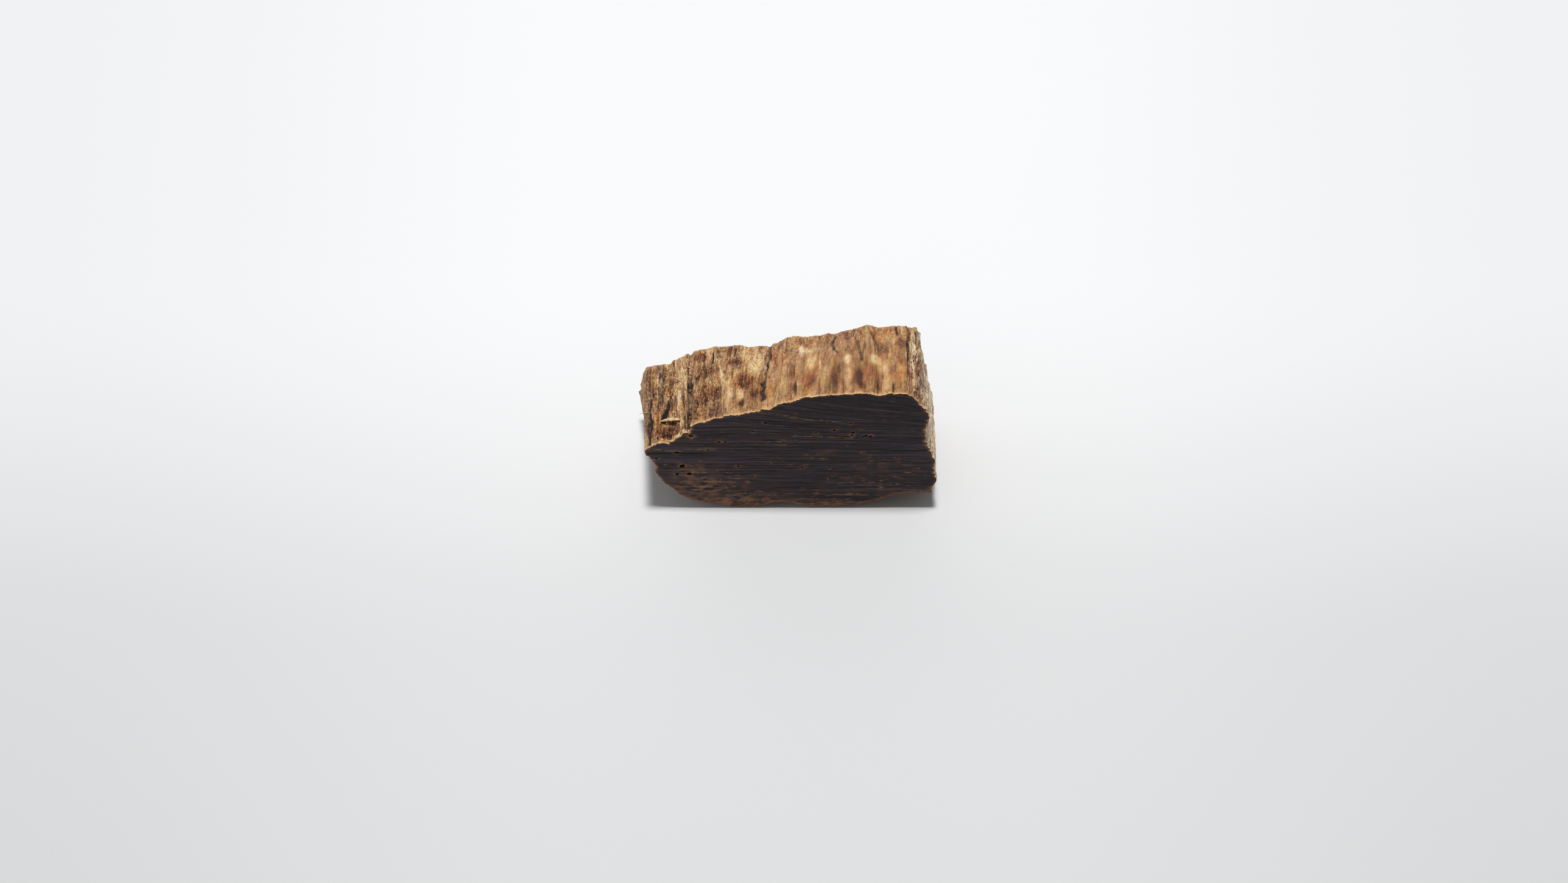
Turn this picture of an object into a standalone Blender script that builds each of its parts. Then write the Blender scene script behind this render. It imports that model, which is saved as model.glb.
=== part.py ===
"""A small chip of agarwood: one piece of resin-rich wood, sawn flat across the grain on its
two large faces and split along the grain all round. It stands on its narrow split underside.

X runs across the chip, Y along the grain, from the near sawn face to the far one, and Z up.
Sizes are in millimetres until the mesh is made. The origin is under the middle of the chip.
"""

import math
import random

import bmesh
import bpy
import numpy as np

MM = 0.001
NODE = "agarwood_chip"

THICKNESS = 7.0  # along the grain, between the two sawn faces
STATIONS = 18  # outlines along the grain
RUBBED_FOOT = 0.30  # how much of the lowest ridges is rubbed away, so that the chip stands
SEED = 11

# Each grain line runs from the near sawn face to the far one. A row holds where it starts
# (x, z), where it ends (x, z), and how far it bows outwards halfway. Between two neighbours
# the surface is nearly flat, so a step or a crack is two or three close lines.
TOP_LINES = (
    (-9.55, 7.95, -9.55, 6.95, 0.05),  # left corner
    (-9.0, 8.5, -8.8, 7.35, 0.00),
    (-8.25, 8.85, -7.95, 7.45, -0.15),
    (-7.95, 8.95, -7.75, 7.95, 0.00),  # first step of the left shoulder
    (-7.1, 9.85, -7.1, 8.4, 0.00),
    (-6.7, 10.3, -6.75, 8.75, 0.00),
    (-6.5, 10.2, -6.55, 8.6, -0.20),  # furrow under the second step
    (-6.3, 10.95, -6.2, 9.1, 0.00),
    (-5.9, 11.5, -5.7, 9.35, 0.00),
    (-5.0, 11.95, -4.8, 9.8, 0.05),
    (-3.9, 12.4, -3.6, 9.85, 0.15),
    (-2.9, 12.75, -2.6, 9.75, 0.20),
    (-2.2, 13.0, -1.5, 9.85, 0.20),
    (-1.95, 13.0, -1.2, 9.8, -0.15),  # foot of the long crack
    (-1.7, 13.3, -0.95, 10.15, 0.35),
    (-1.0, 13.6, -0.6, 10.45, 0.40),
    (0.1, 14.05, 0.5, 11.0, 0.45),
    (0.6, 14.5, 1.4, 11.05, 0.55),
    (1.1, 14.85, 2.2, 11.2, 0.60),
    (1.9, 15.0, 2.8, 11.45, 0.65),
    (2.7, 15.1, 3.2, 11.45, 0.60),
    (3.4, 15.2, 3.9, 11.8, 0.60),
    (4.3, 15.35, 4.7, 12.2, 0.40),
    (4.95, 15.35, 5.0, 12.4, 0.25),  # crease beside the rib
    (5.4, 15.4, 5.35, 12.8, 0.45),  # rib that ends in the far peak
    (5.8, 15.25, 5.75, 12.5, 0.40),
    (6.2, 15.1, 6.1, 12.25, 0.30),
    (6.5, 15.35, 6.8, 12.45, 0.40),
    (7.4, 15.35, 7.6, 12.5, 0.45),
    (8.05, 15.2, 8.15, 12.3, 0.35),
)
RIGHT_LINES = (
    (8.35, 14.75, 8.55, 12.15, 0.15),
    (8.7, 14.0, 8.85, 11.6, 0.10),
    (9.1, 13.45, 9.0, 10.6, 0.05),
    (9.35, 12.9, 9.05, 9.6, 0.05),
    (9.4, 11.2, 9.15, 8.3, 0.05),
    (9.3, 9.9, 9.4, 7.2, 0.05),
    (9.35, 8.6, 9.6, 5.6, 0.05),
    (9.7, 7.4, 9.75, 4.6, 0.05),
    (10.0, 6.2, 9.9, 3.7, 0.05),
    (9.9, 5.5, 9.85, 3.1, 0.00),
    (10.0, 4.3, 9.9, 2.5, 0.00),
    (10.15, 3.7, 10.0, 1.9, 0.00),
    (9.95, 3.1, 9.9, 1.5, 0.00),
    (9.95, 2.1, 9.75, 1.0, 0.00),
)
UNDER_LINES = (
    (8.3, 2.0, 8.2, 0.8, 0.10),
    (7.2, 1.65, 7.0, 0.5, 0.20),
    (5.9, 0.85, 5.6, 0.3, 0.40),
    (4.7, 0.3, 4.4, 0.2, 0.50),
    (2.2, 0.2, 2.2, 0.2, 0.50),
    (0.9, 0.4, 1.0, 0.2, 0.65),
    (0.1, 0.8, 0.2, 0.2, 0.75),
    (-0.8, 0.75, -0.9, 0.2, 0.75),
    (-1.6, 0.3, -1.8, 0.2, 0.55),
    (-3.6, 0.15, -3.8, 0.2, 0.45),
    (-5.2, 0.6, -5.6, 0.4, 0.20),
)
LEFT_LINES = (
    (-6.5, 1.1, -6.9, 0.7, 0.10),
    (-7.3, 1.85, -8.2, 1.3, 0.10),
    (-7.8, 2.8, -9.2, 2.2, 0.10),
    (-8.45, 3.6, -9.9, 3.1, 0.10),
    (-8.8, 4.9, -10.1, 4.0, 0.05),
    (-9.15, 6.5, -10.0, 5.1, 0.05),
    (-9.55, 7.3, -9.8, 6.2, 0.05),
)
# For each side: its lines, the direction that they bow in, and the spacing of its points.
SIDES = (
    (TOP_LINES, (0, 1), 0.20),
    (RIGHT_LINES, (1, 0), 0.34),
    (UNDER_LINES, (0, -1), 0.45),
    (LEFT_LINES, (-1, 0), 0.42),
)

# Fibre ribs: low ridges and furrows along the grain, drawn at random all round.
RIB_SPACING = 0.62
RIB_HALF_WIDTH = (0.15, 0.45)
RIB_HEIGHT = 0.09
RIB_DRIFT = 0.05  # sideways, for each millimetre along the grain
UNDER_SHARE = 0.5  # of the rib height on the underside

SAWN_COLOUR = (0.030, 0.024, 0.026, 1.0)
SPLIT_COLOUR = (0.330, 0.190, 0.090, 1.0)


def clear_scene():
    for obj in list(bpy.data.objects):
        bpy.data.objects.remove(obj, do_unlink=True)


def line_points(depth):
    """The point (x, z) where each grain line passes the plane at this depth."""
    share = depth / THICKNESS
    bow_share = 4 * share * (1 - share)
    points = []
    for lines, outward, _ in SIDES:
        for x0, z0, x1, z1, bow in lines:
            x = x0 + (x1 - x0) * share + outward[0] * bow * bow_share
            z = z0 + (z1 - z0) * share + outward[1] * bow * bow_share
            points.append((x, z))
    return np.array(points)


def points_per_gap():
    """How many points of an outline lie from each grain line to the next."""
    halfway = line_points(THICKNESS / 2)
    gaps = np.hypot(*(np.roll(halfway, -1, axis=0) - halfway).T)
    spacings = np.repeat([side[2] for side in SIDES], [len(side[0]) for side in SIDES])
    return np.maximum(1, np.round(gaps / spacings)).astype(int)


def make_ribs(perimeter):
    """Seeded fibre ribs: each one's place round the outline, half width, height and drift."""
    rng = random.Random(SEED)
    return [
        (
            rng.uniform(0, perimeter),
            rng.uniform(*RIB_HALF_WIDTH),
            rng.uniform(-RIB_HEIGHT, RIB_HEIGHT),
            rng.uniform(-RIB_DRIFT, RIB_DRIFT),
        )
        for _ in range(round(perimeter / RIB_SPACING))
    ]


def rib_relief(places, perimeter, depth, ribs):
    """How far the ribs stand out at these places round the outline."""
    relief = np.zeros(len(places))
    for place, half_width, height, drift in ribs:
        away = places - place - drift * depth
        away -= perimeter * np.round(away / perimeter)
        relief += height * np.exp(-((away / half_width) ** 2))
    return relief


def outward_normals(ring):
    """Unit normals of an outline that runs clockwise, seen along +Y."""
    along = np.roll(ring, -1, axis=0) - np.roll(ring, 1, axis=0)
    normals = np.column_stack([-along[:, 1], along[:, 0]])
    return normals / np.linalg.norm(normals, axis=1)[:, None]


def outline_at(depth, counts):
    """The chip's outline at this depth without its ribs, as points (x, z)."""
    corners = line_points(depth)
    ring = []
    for corner, following, count in zip(corners, np.roll(corners, -1, axis=0), counts):
        shares = np.arange(count)[:, None] / count
        ring.append(corner + (following - corner) * shares)
    ring = np.concatenate(ring)
    return (np.roll(ring, 1, axis=0) + 6 * ring + np.roll(ring, -1, axis=0)) / 8


def chip_rings():
    """All outlines, as an array of stations by points by (x, y, z), standing on z = 0."""
    counts = points_per_gap()
    halfway = outline_at(THICKNESS / 2, counts)
    steps = np.hypot(*(np.roll(halfway, -1, axis=0) - halfway).T)
    perimeter = steps.sum()
    places = np.concatenate([[0], np.cumsum(steps)[:-1]])
    ribs = make_ribs(perimeter)
    rings = np.zeros((STATIONS, len(places), 3))
    for ring, depth in zip(rings, np.linspace(0, THICKNESS, STATIONS)):
        flat = outline_at(depth, counts)
        normals = outward_normals(flat)
        shares = np.where(normals[:, 1] < -0.5, UNDER_SHARE, 1.0)
        relief = rib_relief(places, perimeter, depth, ribs) * shares
        ring[:, [0, 2]] = flat + normals * relief[:, None]
        ring[:, 1] = depth
    foot = rings[:, :, 2].min() + RUBBED_FOOT
    rings[:, :, 2] = np.maximum(rings[:, :, 2] - foot, 0.0)
    middle = (rings.min(axis=(0, 1)) + rings.max(axis=(0, 1))) / 2
    rings[:, :, :2] -= middle[:2]
    return rings


def principled(name, colour, roughness):
    material = bpy.data.materials.new(name)
    material.use_nodes = True
    shader = material.node_tree.nodes["Principled BSDF"]
    shader.inputs["Base Color"].default_value = colour
    shader.inputs["Roughness"].default_value = roughness
    shader.inputs["Metallic"].default_value = 0.0
    return material


def make_chip():
    """Joins the outlines into one closed solid, with a flat sawn face at each end."""
    mesh = bpy.data.meshes.new(NODE)
    mesh.materials.append(principled("split_wood", SPLIT_COLOUR, 0.75))
    mesh.materials.append(principled("sawn_resinous_wood", SAWN_COLOUR, 0.55))
    bm = bmesh.new()
    rings = [[bm.verts.new(point * MM) for point in ring] for ring in chip_rings()]
    for near, far in zip(rings, rings[1:]):
        for i in range(len(near)):
            j = (i + 1) % len(near)
            bm.faces.new((near[i], far[i], far[j], near[j]))
    for sawn_face in (rings[0], rings[-1][::-1]):
        bm.faces.new(sawn_face).material_index = 1
    bmesh.ops.recalc_face_normals(bm, faces=bm.faces)
    bm.to_mesh(mesh)
    bm.free()
    mesh.shade_smooth()
    mesh.set_sharp_from_angle(angle=math.radians(40))
    chip = bpy.data.objects.new(NODE, mesh)
    bpy.context.scene.collection.objects.link(chip)
    return chip


def main():
    clear_scene()
    make_chip()


main()
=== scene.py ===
"""How the agarwood chip looks: one fine mesh in place of the CAD solid, with its split fibres, cracks,
torn pits and pores, the two kinds of wood surface, a few loose fibres, and the studio round it.

Lengths are in millimetres in the chip's own frame until a mesh is made: X across the chip, Y along the
grain, Z up. The near sawn face has the lowest Y. "Depth" is the distance behind the near sawn face.
"""

import math
import random

import bmesh
import bpy
import numpy as np
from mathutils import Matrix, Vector
from mathutils.geometry import delaunay_2d_cdt
from mathutils.kdtree import KDTree


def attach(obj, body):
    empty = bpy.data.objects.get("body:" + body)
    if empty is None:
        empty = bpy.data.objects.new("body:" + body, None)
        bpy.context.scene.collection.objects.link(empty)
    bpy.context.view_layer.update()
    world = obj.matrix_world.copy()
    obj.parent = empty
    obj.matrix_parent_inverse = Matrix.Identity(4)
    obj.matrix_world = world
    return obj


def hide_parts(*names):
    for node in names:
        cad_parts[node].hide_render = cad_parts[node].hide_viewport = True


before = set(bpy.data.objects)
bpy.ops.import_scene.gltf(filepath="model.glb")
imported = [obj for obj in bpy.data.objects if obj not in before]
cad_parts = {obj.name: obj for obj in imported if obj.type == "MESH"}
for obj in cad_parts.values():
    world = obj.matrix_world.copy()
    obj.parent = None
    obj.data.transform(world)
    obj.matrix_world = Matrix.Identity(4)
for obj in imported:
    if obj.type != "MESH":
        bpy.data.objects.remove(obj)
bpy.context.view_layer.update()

MM = 0.001
NODE = "agarwood_chip"
LOOK_SEED = 20

# The outline of the chip, as in the CAD solid.

THICKNESS = 7.0  # along the grain, between the two sawn faces
STATIONS = 18  # outlines along the grain
RUBBED_FOOT = 0.30  # how much of the lowest ridges is rubbed away, so that the chip stands
RIB_SEED = 11

# Each grain line runs from the near sawn face to the far one. A row holds where it starts
# (x, z), where it ends (x, z), and how far it bows outwards halfway. Between two neighbours
# the surface is nearly flat, so a step or a crack is two or three close lines.
TOP_LINES = (
    (-9.55, 7.95, -9.55, 6.95, 0.05),  # left corner
    (-9.0, 8.5, -8.8, 7.35, 0.00),
    (-8.25, 8.85, -7.95, 7.45, -0.15),
    (-7.95, 8.95, -7.75, 7.95, 0.00),  # first step of the left shoulder
    (-7.1, 9.85, -7.1, 8.4, 0.00),
    (-6.7, 10.3, -6.75, 8.75, 0.00),
    (-6.5, 10.2, -6.55, 8.6, -0.20),  # furrow under the second step
    (-6.3, 10.95, -6.2, 9.1, 0.00),
    (-5.9, 11.5, -5.7, 9.35, 0.00),
    (-5.0, 11.95, -4.8, 9.8, 0.05),
    (-3.9, 12.4, -3.6, 9.85, 0.15),
    (-2.9, 12.75, -2.6, 9.75, 0.20),
    (-2.2, 13.0, -1.5, 9.85, 0.20),
    (-1.95, 13.0, -1.2, 9.8, -0.15),  # foot of the long crack
    (-1.7, 13.3, -0.95, 10.15, 0.35),
    (-1.0, 13.6, -0.6, 10.45, 0.40),
    (0.1, 14.05, 0.5, 11.0, 0.45),
    (0.6, 14.5, 1.4, 11.05, 0.55),
    (1.1, 14.85, 2.2, 11.2, 0.60),
    (1.9, 15.0, 2.8, 11.45, 0.65),
    (2.7, 15.1, 3.2, 11.45, 0.60),
    (3.4, 15.2, 3.9, 11.8, 0.60),
    (4.3, 15.35, 4.7, 12.2, 0.40),
    (4.95, 15.35, 5.0, 12.4, 0.25),  # crease beside the rib
    (5.4, 15.4, 5.35, 12.8, 0.45),  # rib that ends in the far peak
    (5.8, 15.25, 5.75, 12.5, 0.40),
    (6.2, 15.1, 6.1, 12.25, 0.30),
    (6.5, 15.35, 6.8, 12.45, 0.40),
    (7.4, 15.35, 7.6, 12.5, 0.45),
    (8.05, 15.2, 8.15, 12.3, 0.35),
)
RIGHT_LINES = (
    (8.35, 14.75, 8.55, 12.15, 0.15),
    (8.7, 14.0, 8.85, 11.6, 0.10),
    (9.1, 13.45, 9.0, 10.6, 0.05),
    (9.35, 12.9, 9.05, 9.6, 0.05),
    (9.4, 11.2, 9.15, 8.3, 0.05),
    (9.3, 9.9, 9.4, 7.2, 0.05),
    (9.35, 8.6, 9.6, 5.6, 0.05),
    (9.7, 7.4, 9.75, 4.6, 0.05),
    (10.0, 6.2, 9.9, 3.7, 0.05),
    (9.9, 5.5, 9.85, 3.1, 0.00),
    (10.0, 4.3, 9.9, 2.5, 0.00),
    (10.15, 3.7, 10.0, 1.9, 0.00),
    (9.95, 3.1, 9.9, 1.5, 0.00),
    (9.95, 2.1, 9.75, 1.0, 0.00),
)
UNDER_LINES = (
    (8.3, 2.0, 8.2, 0.8, 0.10),
    (7.2, 1.65, 7.0, 0.5, 0.20),
    (5.9, 0.85, 5.6, 0.3, 0.40),
    (4.7, 0.3, 4.4, 0.2, 0.50),
    (2.2, 0.2, 2.2, 0.2, 0.50),
    (0.9, 0.4, 1.0, 0.2, 0.65),
    (0.1, 0.8, 0.2, 0.2, 0.75),
    (-0.8, 0.75, -0.9, 0.2, 0.75),
    (-1.6, 0.3, -1.8, 0.2, 0.55),
    (-3.6, 0.15, -3.8, 0.2, 0.45),
    (-5.2, 0.6, -5.6, 0.4, 0.20),
)
LEFT_LINES = (
    (-6.5, 1.1, -6.9, 0.7, 0.10),
    (-7.3, 1.85, -8.2, 1.3, 0.10),
    (-7.8, 2.8, -9.2, 2.2, 0.10),
    (-8.45, 3.6, -9.9, 3.1, 0.10),
    (-8.8, 4.9, -10.1, 4.0, 0.05),
    (-9.15, 6.5, -10.0, 5.1, 0.05),
    (-9.55, 7.3, -9.8, 6.2, 0.05),
)
# For each side: its lines, the direction that they bow in, and the spacing of its points.
SIDES = (
    (TOP_LINES, (0, 1), 0.20),
    (RIGHT_LINES, (1, 0), 0.34),
    (UNDER_LINES, (0, -1), 0.45),
    (LEFT_LINES, (-1, 0), 0.42),
)

# Fibre ribs: low ridges and furrows along the grain, drawn at random all round.
RIB_SPACING = 0.62
RIB_HALF_WIDTH = (0.15, 0.45)
RIB_HEIGHT = 0.09
RIB_DRIFT = 0.05  # sideways, for each millimetre along the grain
UNDER_SHARE = 0.5  # of the rib height on the underside

# The fine mesh: points put in each gap of an outline, and the depths of its rows, which lie close
# together behind the sawn edges and evenly spaced between.
ROUND_STEPS = 6
EDGE_ROWS = (0.0, 0.035, 0.08, 0.14, 0.22, 0.32)
MIDDLE_ROWS = 45
NORMAL_BLUR = 6  # points on each side that the normals are averaged over
SHARP_ANGLE = math.radians(50)
FACE_SPACING = 0.15  # between the inner points of a sawn face
FACE_JITTER = 0.3  # of this spacing
FACE_MARGIN = 0.07  # from the outline to the nearest inner points
LATTICE_GAP = 0.02  # between a pore's clearance and the nearest inner points
MERGE_DISTANCE = 1e-6

# Fibre relief of the split surface: cell width, cell length, height and edge sharpness.
FIBRE_OCTAVES = (
    (0.90, 5.0, 0.050, 1.2),
    (0.42, 3.0, 0.050, 1.8),
    (0.24, 1.1, 0.050, 2.2),
    (0.13, 0.5, 0.036, 1.8),
    (0.08, 0.25, 0.024, 1.4),
)
SIDE_ROUGHNESS = 1.15  # relief of the right side, against the top's
UNDER_ROUGHNESS = 0.8
LEFT_ROUGHNESS = 0.6
FAR_ROUGHNESS = 0.6  # of the top beside the far sawn face
FAR_REACH = 2.0  # how far from the far face the top starts to be smoother
END_SHARPNESS = 1.5  # of the fibres' ends, against their sides
FULL_HOLLOW = 0.15  # how deep a hollow is where its painted shade is full
AREA_POWER = 1.5  # how flat the middle of an area or a patch is
UNDER_SHADE_TONE = -0.75  # painted shade: the underside is darker, so that the shade under the chip is deeper
TOP_AMBER = 0.15
UNDER_AMBER = 0.6  # more than the top's
# How rough and how sharply drawn the top is: (x, depth) of the middle, half sizes, share to add.
TOP_ROUGHNESS = 0.75
CRISP_AREAS = (
    ((-7.5, 3.5), (3.2, 6.0), 0.75),
    ((-3.0, 5.5), (3.0, 2.2), 0.30),
    ((2.5, 6.6), (5.5, 1.2), 0.40),
    ((8.9, 4.0), (0.9, 6.0), 0.80),
    ((4.3, 2.3), (4.6, 2.6), -0.45),
)
# Where the split side is striped besides its right end, in the same form.
STRIPED_AREAS = (
    ((8.9, 3.5), (0.7, 6.0), 1.0),
    ((-8.3, 3.5), (1.5, 8.0), 0.45),
)
# The sawn edges' raggedness: cell width, cell length, share of the height and edge sharpness.
CHIP_OCTAVES = (
    (0.28, 1.5, 1.0, 2.0),
    (0.112, 1.5, 0.6, 2.0),
)
CHIP_HEIGHT = 0.075
CHIP_REACH = 0.30  # how far it reaches in from the sawn edges
FAR_CHIPS = 0.20  # of the near edge's height
RIGHT_CALM = 0.6  # how much less ragged the edges are at the right
LEFT_CALM = 0.4  # and at the left and below

# Grooves of the top: x and depth where each starts, and where it ends, half width, how deep and
# how dark their stain is: dark wood, with painted shade in the groove.
GROOVES = (
    (-1.6, 1.2, -1.54, 3.2, 0.17, 0.07, 0.62),
    (-1.5, 2.7, -1.38, 4.4, 0.06, 0.12, 0.6),
    (-1.4, 4.2, -1.22, 5.6, 0.1, 0.14, 0.75),
    (-1.24, 5.4, -1.16, 7.0, 0.08, 0.08, 0.5),
    (-6.6, 0.0, -6.52, 2.2, 0.08, 0.1, 0.0),
    (-6.5, 1.8, -6.48, 4.2, 0.06, 0.08, 0.3),
    (-6.52, 4.0, -6.6, 7.0, 0.07, 0.08, 0.0),
    (-6.36, 0.2, -6.28, 6.8, 0.03, 0.08, 0.32),
    (-8.38, 2.2, -8.18, 2.8, 0.15, 0.26, 0.95),
    (-8.1, 3.1, -8.02, 3.8, 0.09, 0.16, 0.7),
    (-7.95, 3.9, -7.66, 4.2, 0.07, 0.14, 0.6),
    (-8.35, 0.8, -8.24, 1.4, 0.12, 0.24, 0.35),
    (-7.95, 0.8, -7.88, 1.5, 0.2, 0.34, 0.4),
    (-7.45, 0.6, -7.42, 1.3, 0.12, 0.28, 0.35),
    (-7.02, 0.5, -6.98, 1.9, 0.05, 0.18, 0.5),
    (-7.48, 1.9, -7.44, 4.2, 0.035, 0.12, 0.5),
    (-7.08, 1.9, -7.04, 4.6, 0.035, 0.12, 0.5),
    (-9.24, 0.3, -9.18, 2.1, 0.085, 0.08, 0.72),
    (-9.18, 1.9, -9.22, 3.9, 0.07, 0.07, 0.68),
    (-9.32, 4.4, -9.3, 7.0, 0.06, 0.08, 0.4),
    (-8.72, 0.5, -8.7, 4.8, 0.03, 0.08, 0.4),
    (-8.46, 3.2, -8.44, 6.9, 0.03, 0.06, 0.35),
    (-7.75, 4.4, -7.7, 6.9, 0.035, 0.08, 0.45),
    (4.94, 3.4, 4.76, 5.2, 0.095, 0.05, 0.49),
    (4.96, 3.4, 5.12, 4.9, 0.085, 0.05, 0.43),
    (6.5, 4.4, 6.0, 5.4, 0.12, 0.12, 0.26),
    (6.02, 5.3, 5.64, 6.1, 0.12, 0.16, 0.5),
    (5.66, 6.0, 5.48, 6.7, 0.08, 0.14, 0.4),
    (3.36, 4.3, 3.14, 4.9, 0.075, 0.06, 0.58),
    (3.11, 4.8, 3.08, 5.8, 0.11, 0.05, 0.56),
    (3.1, 5.7, 3.34, 6.4, 0.08, 0.06, 0.6),
    (7.34, 6.0, 7.3, 7.0, 0.065, 0.1, 0.55),
    (2.18, 6.4, 2.22, 6.9, 0.07, 0.08, 0.5),
    (4.44, 6.1, 4.47, 6.7, 0.07, 0.08, 0.45),
    (1.32, 6.2, 1.36, 6.9, 0.05, 0.08, 0.4),
    (-3.84, 6.1, -3.76, 7.0, 0.06, 0.08, 0.6),
    (-3.58, 5.9, -3.44, 6.6, 0.06, 0.08, 0.55),
    (-5.04, 5.5, -5.0, 6.4, 0.05, 0.1, 0.65),
    (-0.14, 5.4, -0.04, 6.9, 0.045, 0.08, 0.4),
    (-0.58, 0.9, -0.34, 4.6, 0.035, 0.1, 0.4),
    (0.42, 2.4, 0.46, 3.6, 0.045, 0.1, 0.45),
    (0.54, 0.6, 0.54, 1.7, 0.06, 0.1, 0.45),
    (2.12, 0.2, 2.14, 1.6, 0.045, 0.1, 0.4),
    (3.74, 0.2, 3.76, 1.1, 0.04, 0.08, 0.35),
    (6.02, 0.2, 6.02, 1.2, 0.045, 0.08, 0.4),
    (7.02, 0.2, 7.02, 0.9, 0.045, 0.08, 0.45),
    (-2.3, 0.6, -2.34, 3.6, 0.03, 0.08, 0.35),
    (-3.42, 0.4, -3.48, 3.4, 0.03, 0.06, 0.3),
    (-4.22, 0.4, -4.2, 3.0, 0.03, 0.08, 0.4),
    (8.1, 0.9, 8.04, 3.4, 0.055, 0.05, 0.3),
    (8.1, 3.2, 8.12, 6.8, 0.05, 0.05, 0.32),
    (8.58, 3.4, 8.6, 6.6, 0.035, 0.05, 0.45),
    (8.78, 0.6, 8.74, 3.6, 0.035, 0.08, 0.5),
)
GROOVE_STRAY = (0.02, 0.45)  # how far a groove strays: a length and a share of its half width
GROOVE_STRAY_STEP = 0.5  # along the grain from one bend to the next
GROOVE_UNEVEN = 0.45  # share by which its width changes
GROOVE_UNEVEN_STEP = 0.3
GROOVE_TAPER = 2.5  # length of its ends, against its half width
STAIN_SPREAD = 1.5  # how much broader its dark stain and painted shade is

RIM_WIDTH = (0.17, 0.09)  # of the pale rim along the sawn edges, pale wood with a painted highlight: the mean and how much it changes
RIM_NOISE = (0.2, 20.0, 1.2)  # cell width, cell length and edge sharpness
RIM_END = 1.3  # how many widths from the edge it ends
FAR_RIM_SHARE = 0.3  # of the near edge's pale rim and painted highlight
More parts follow.
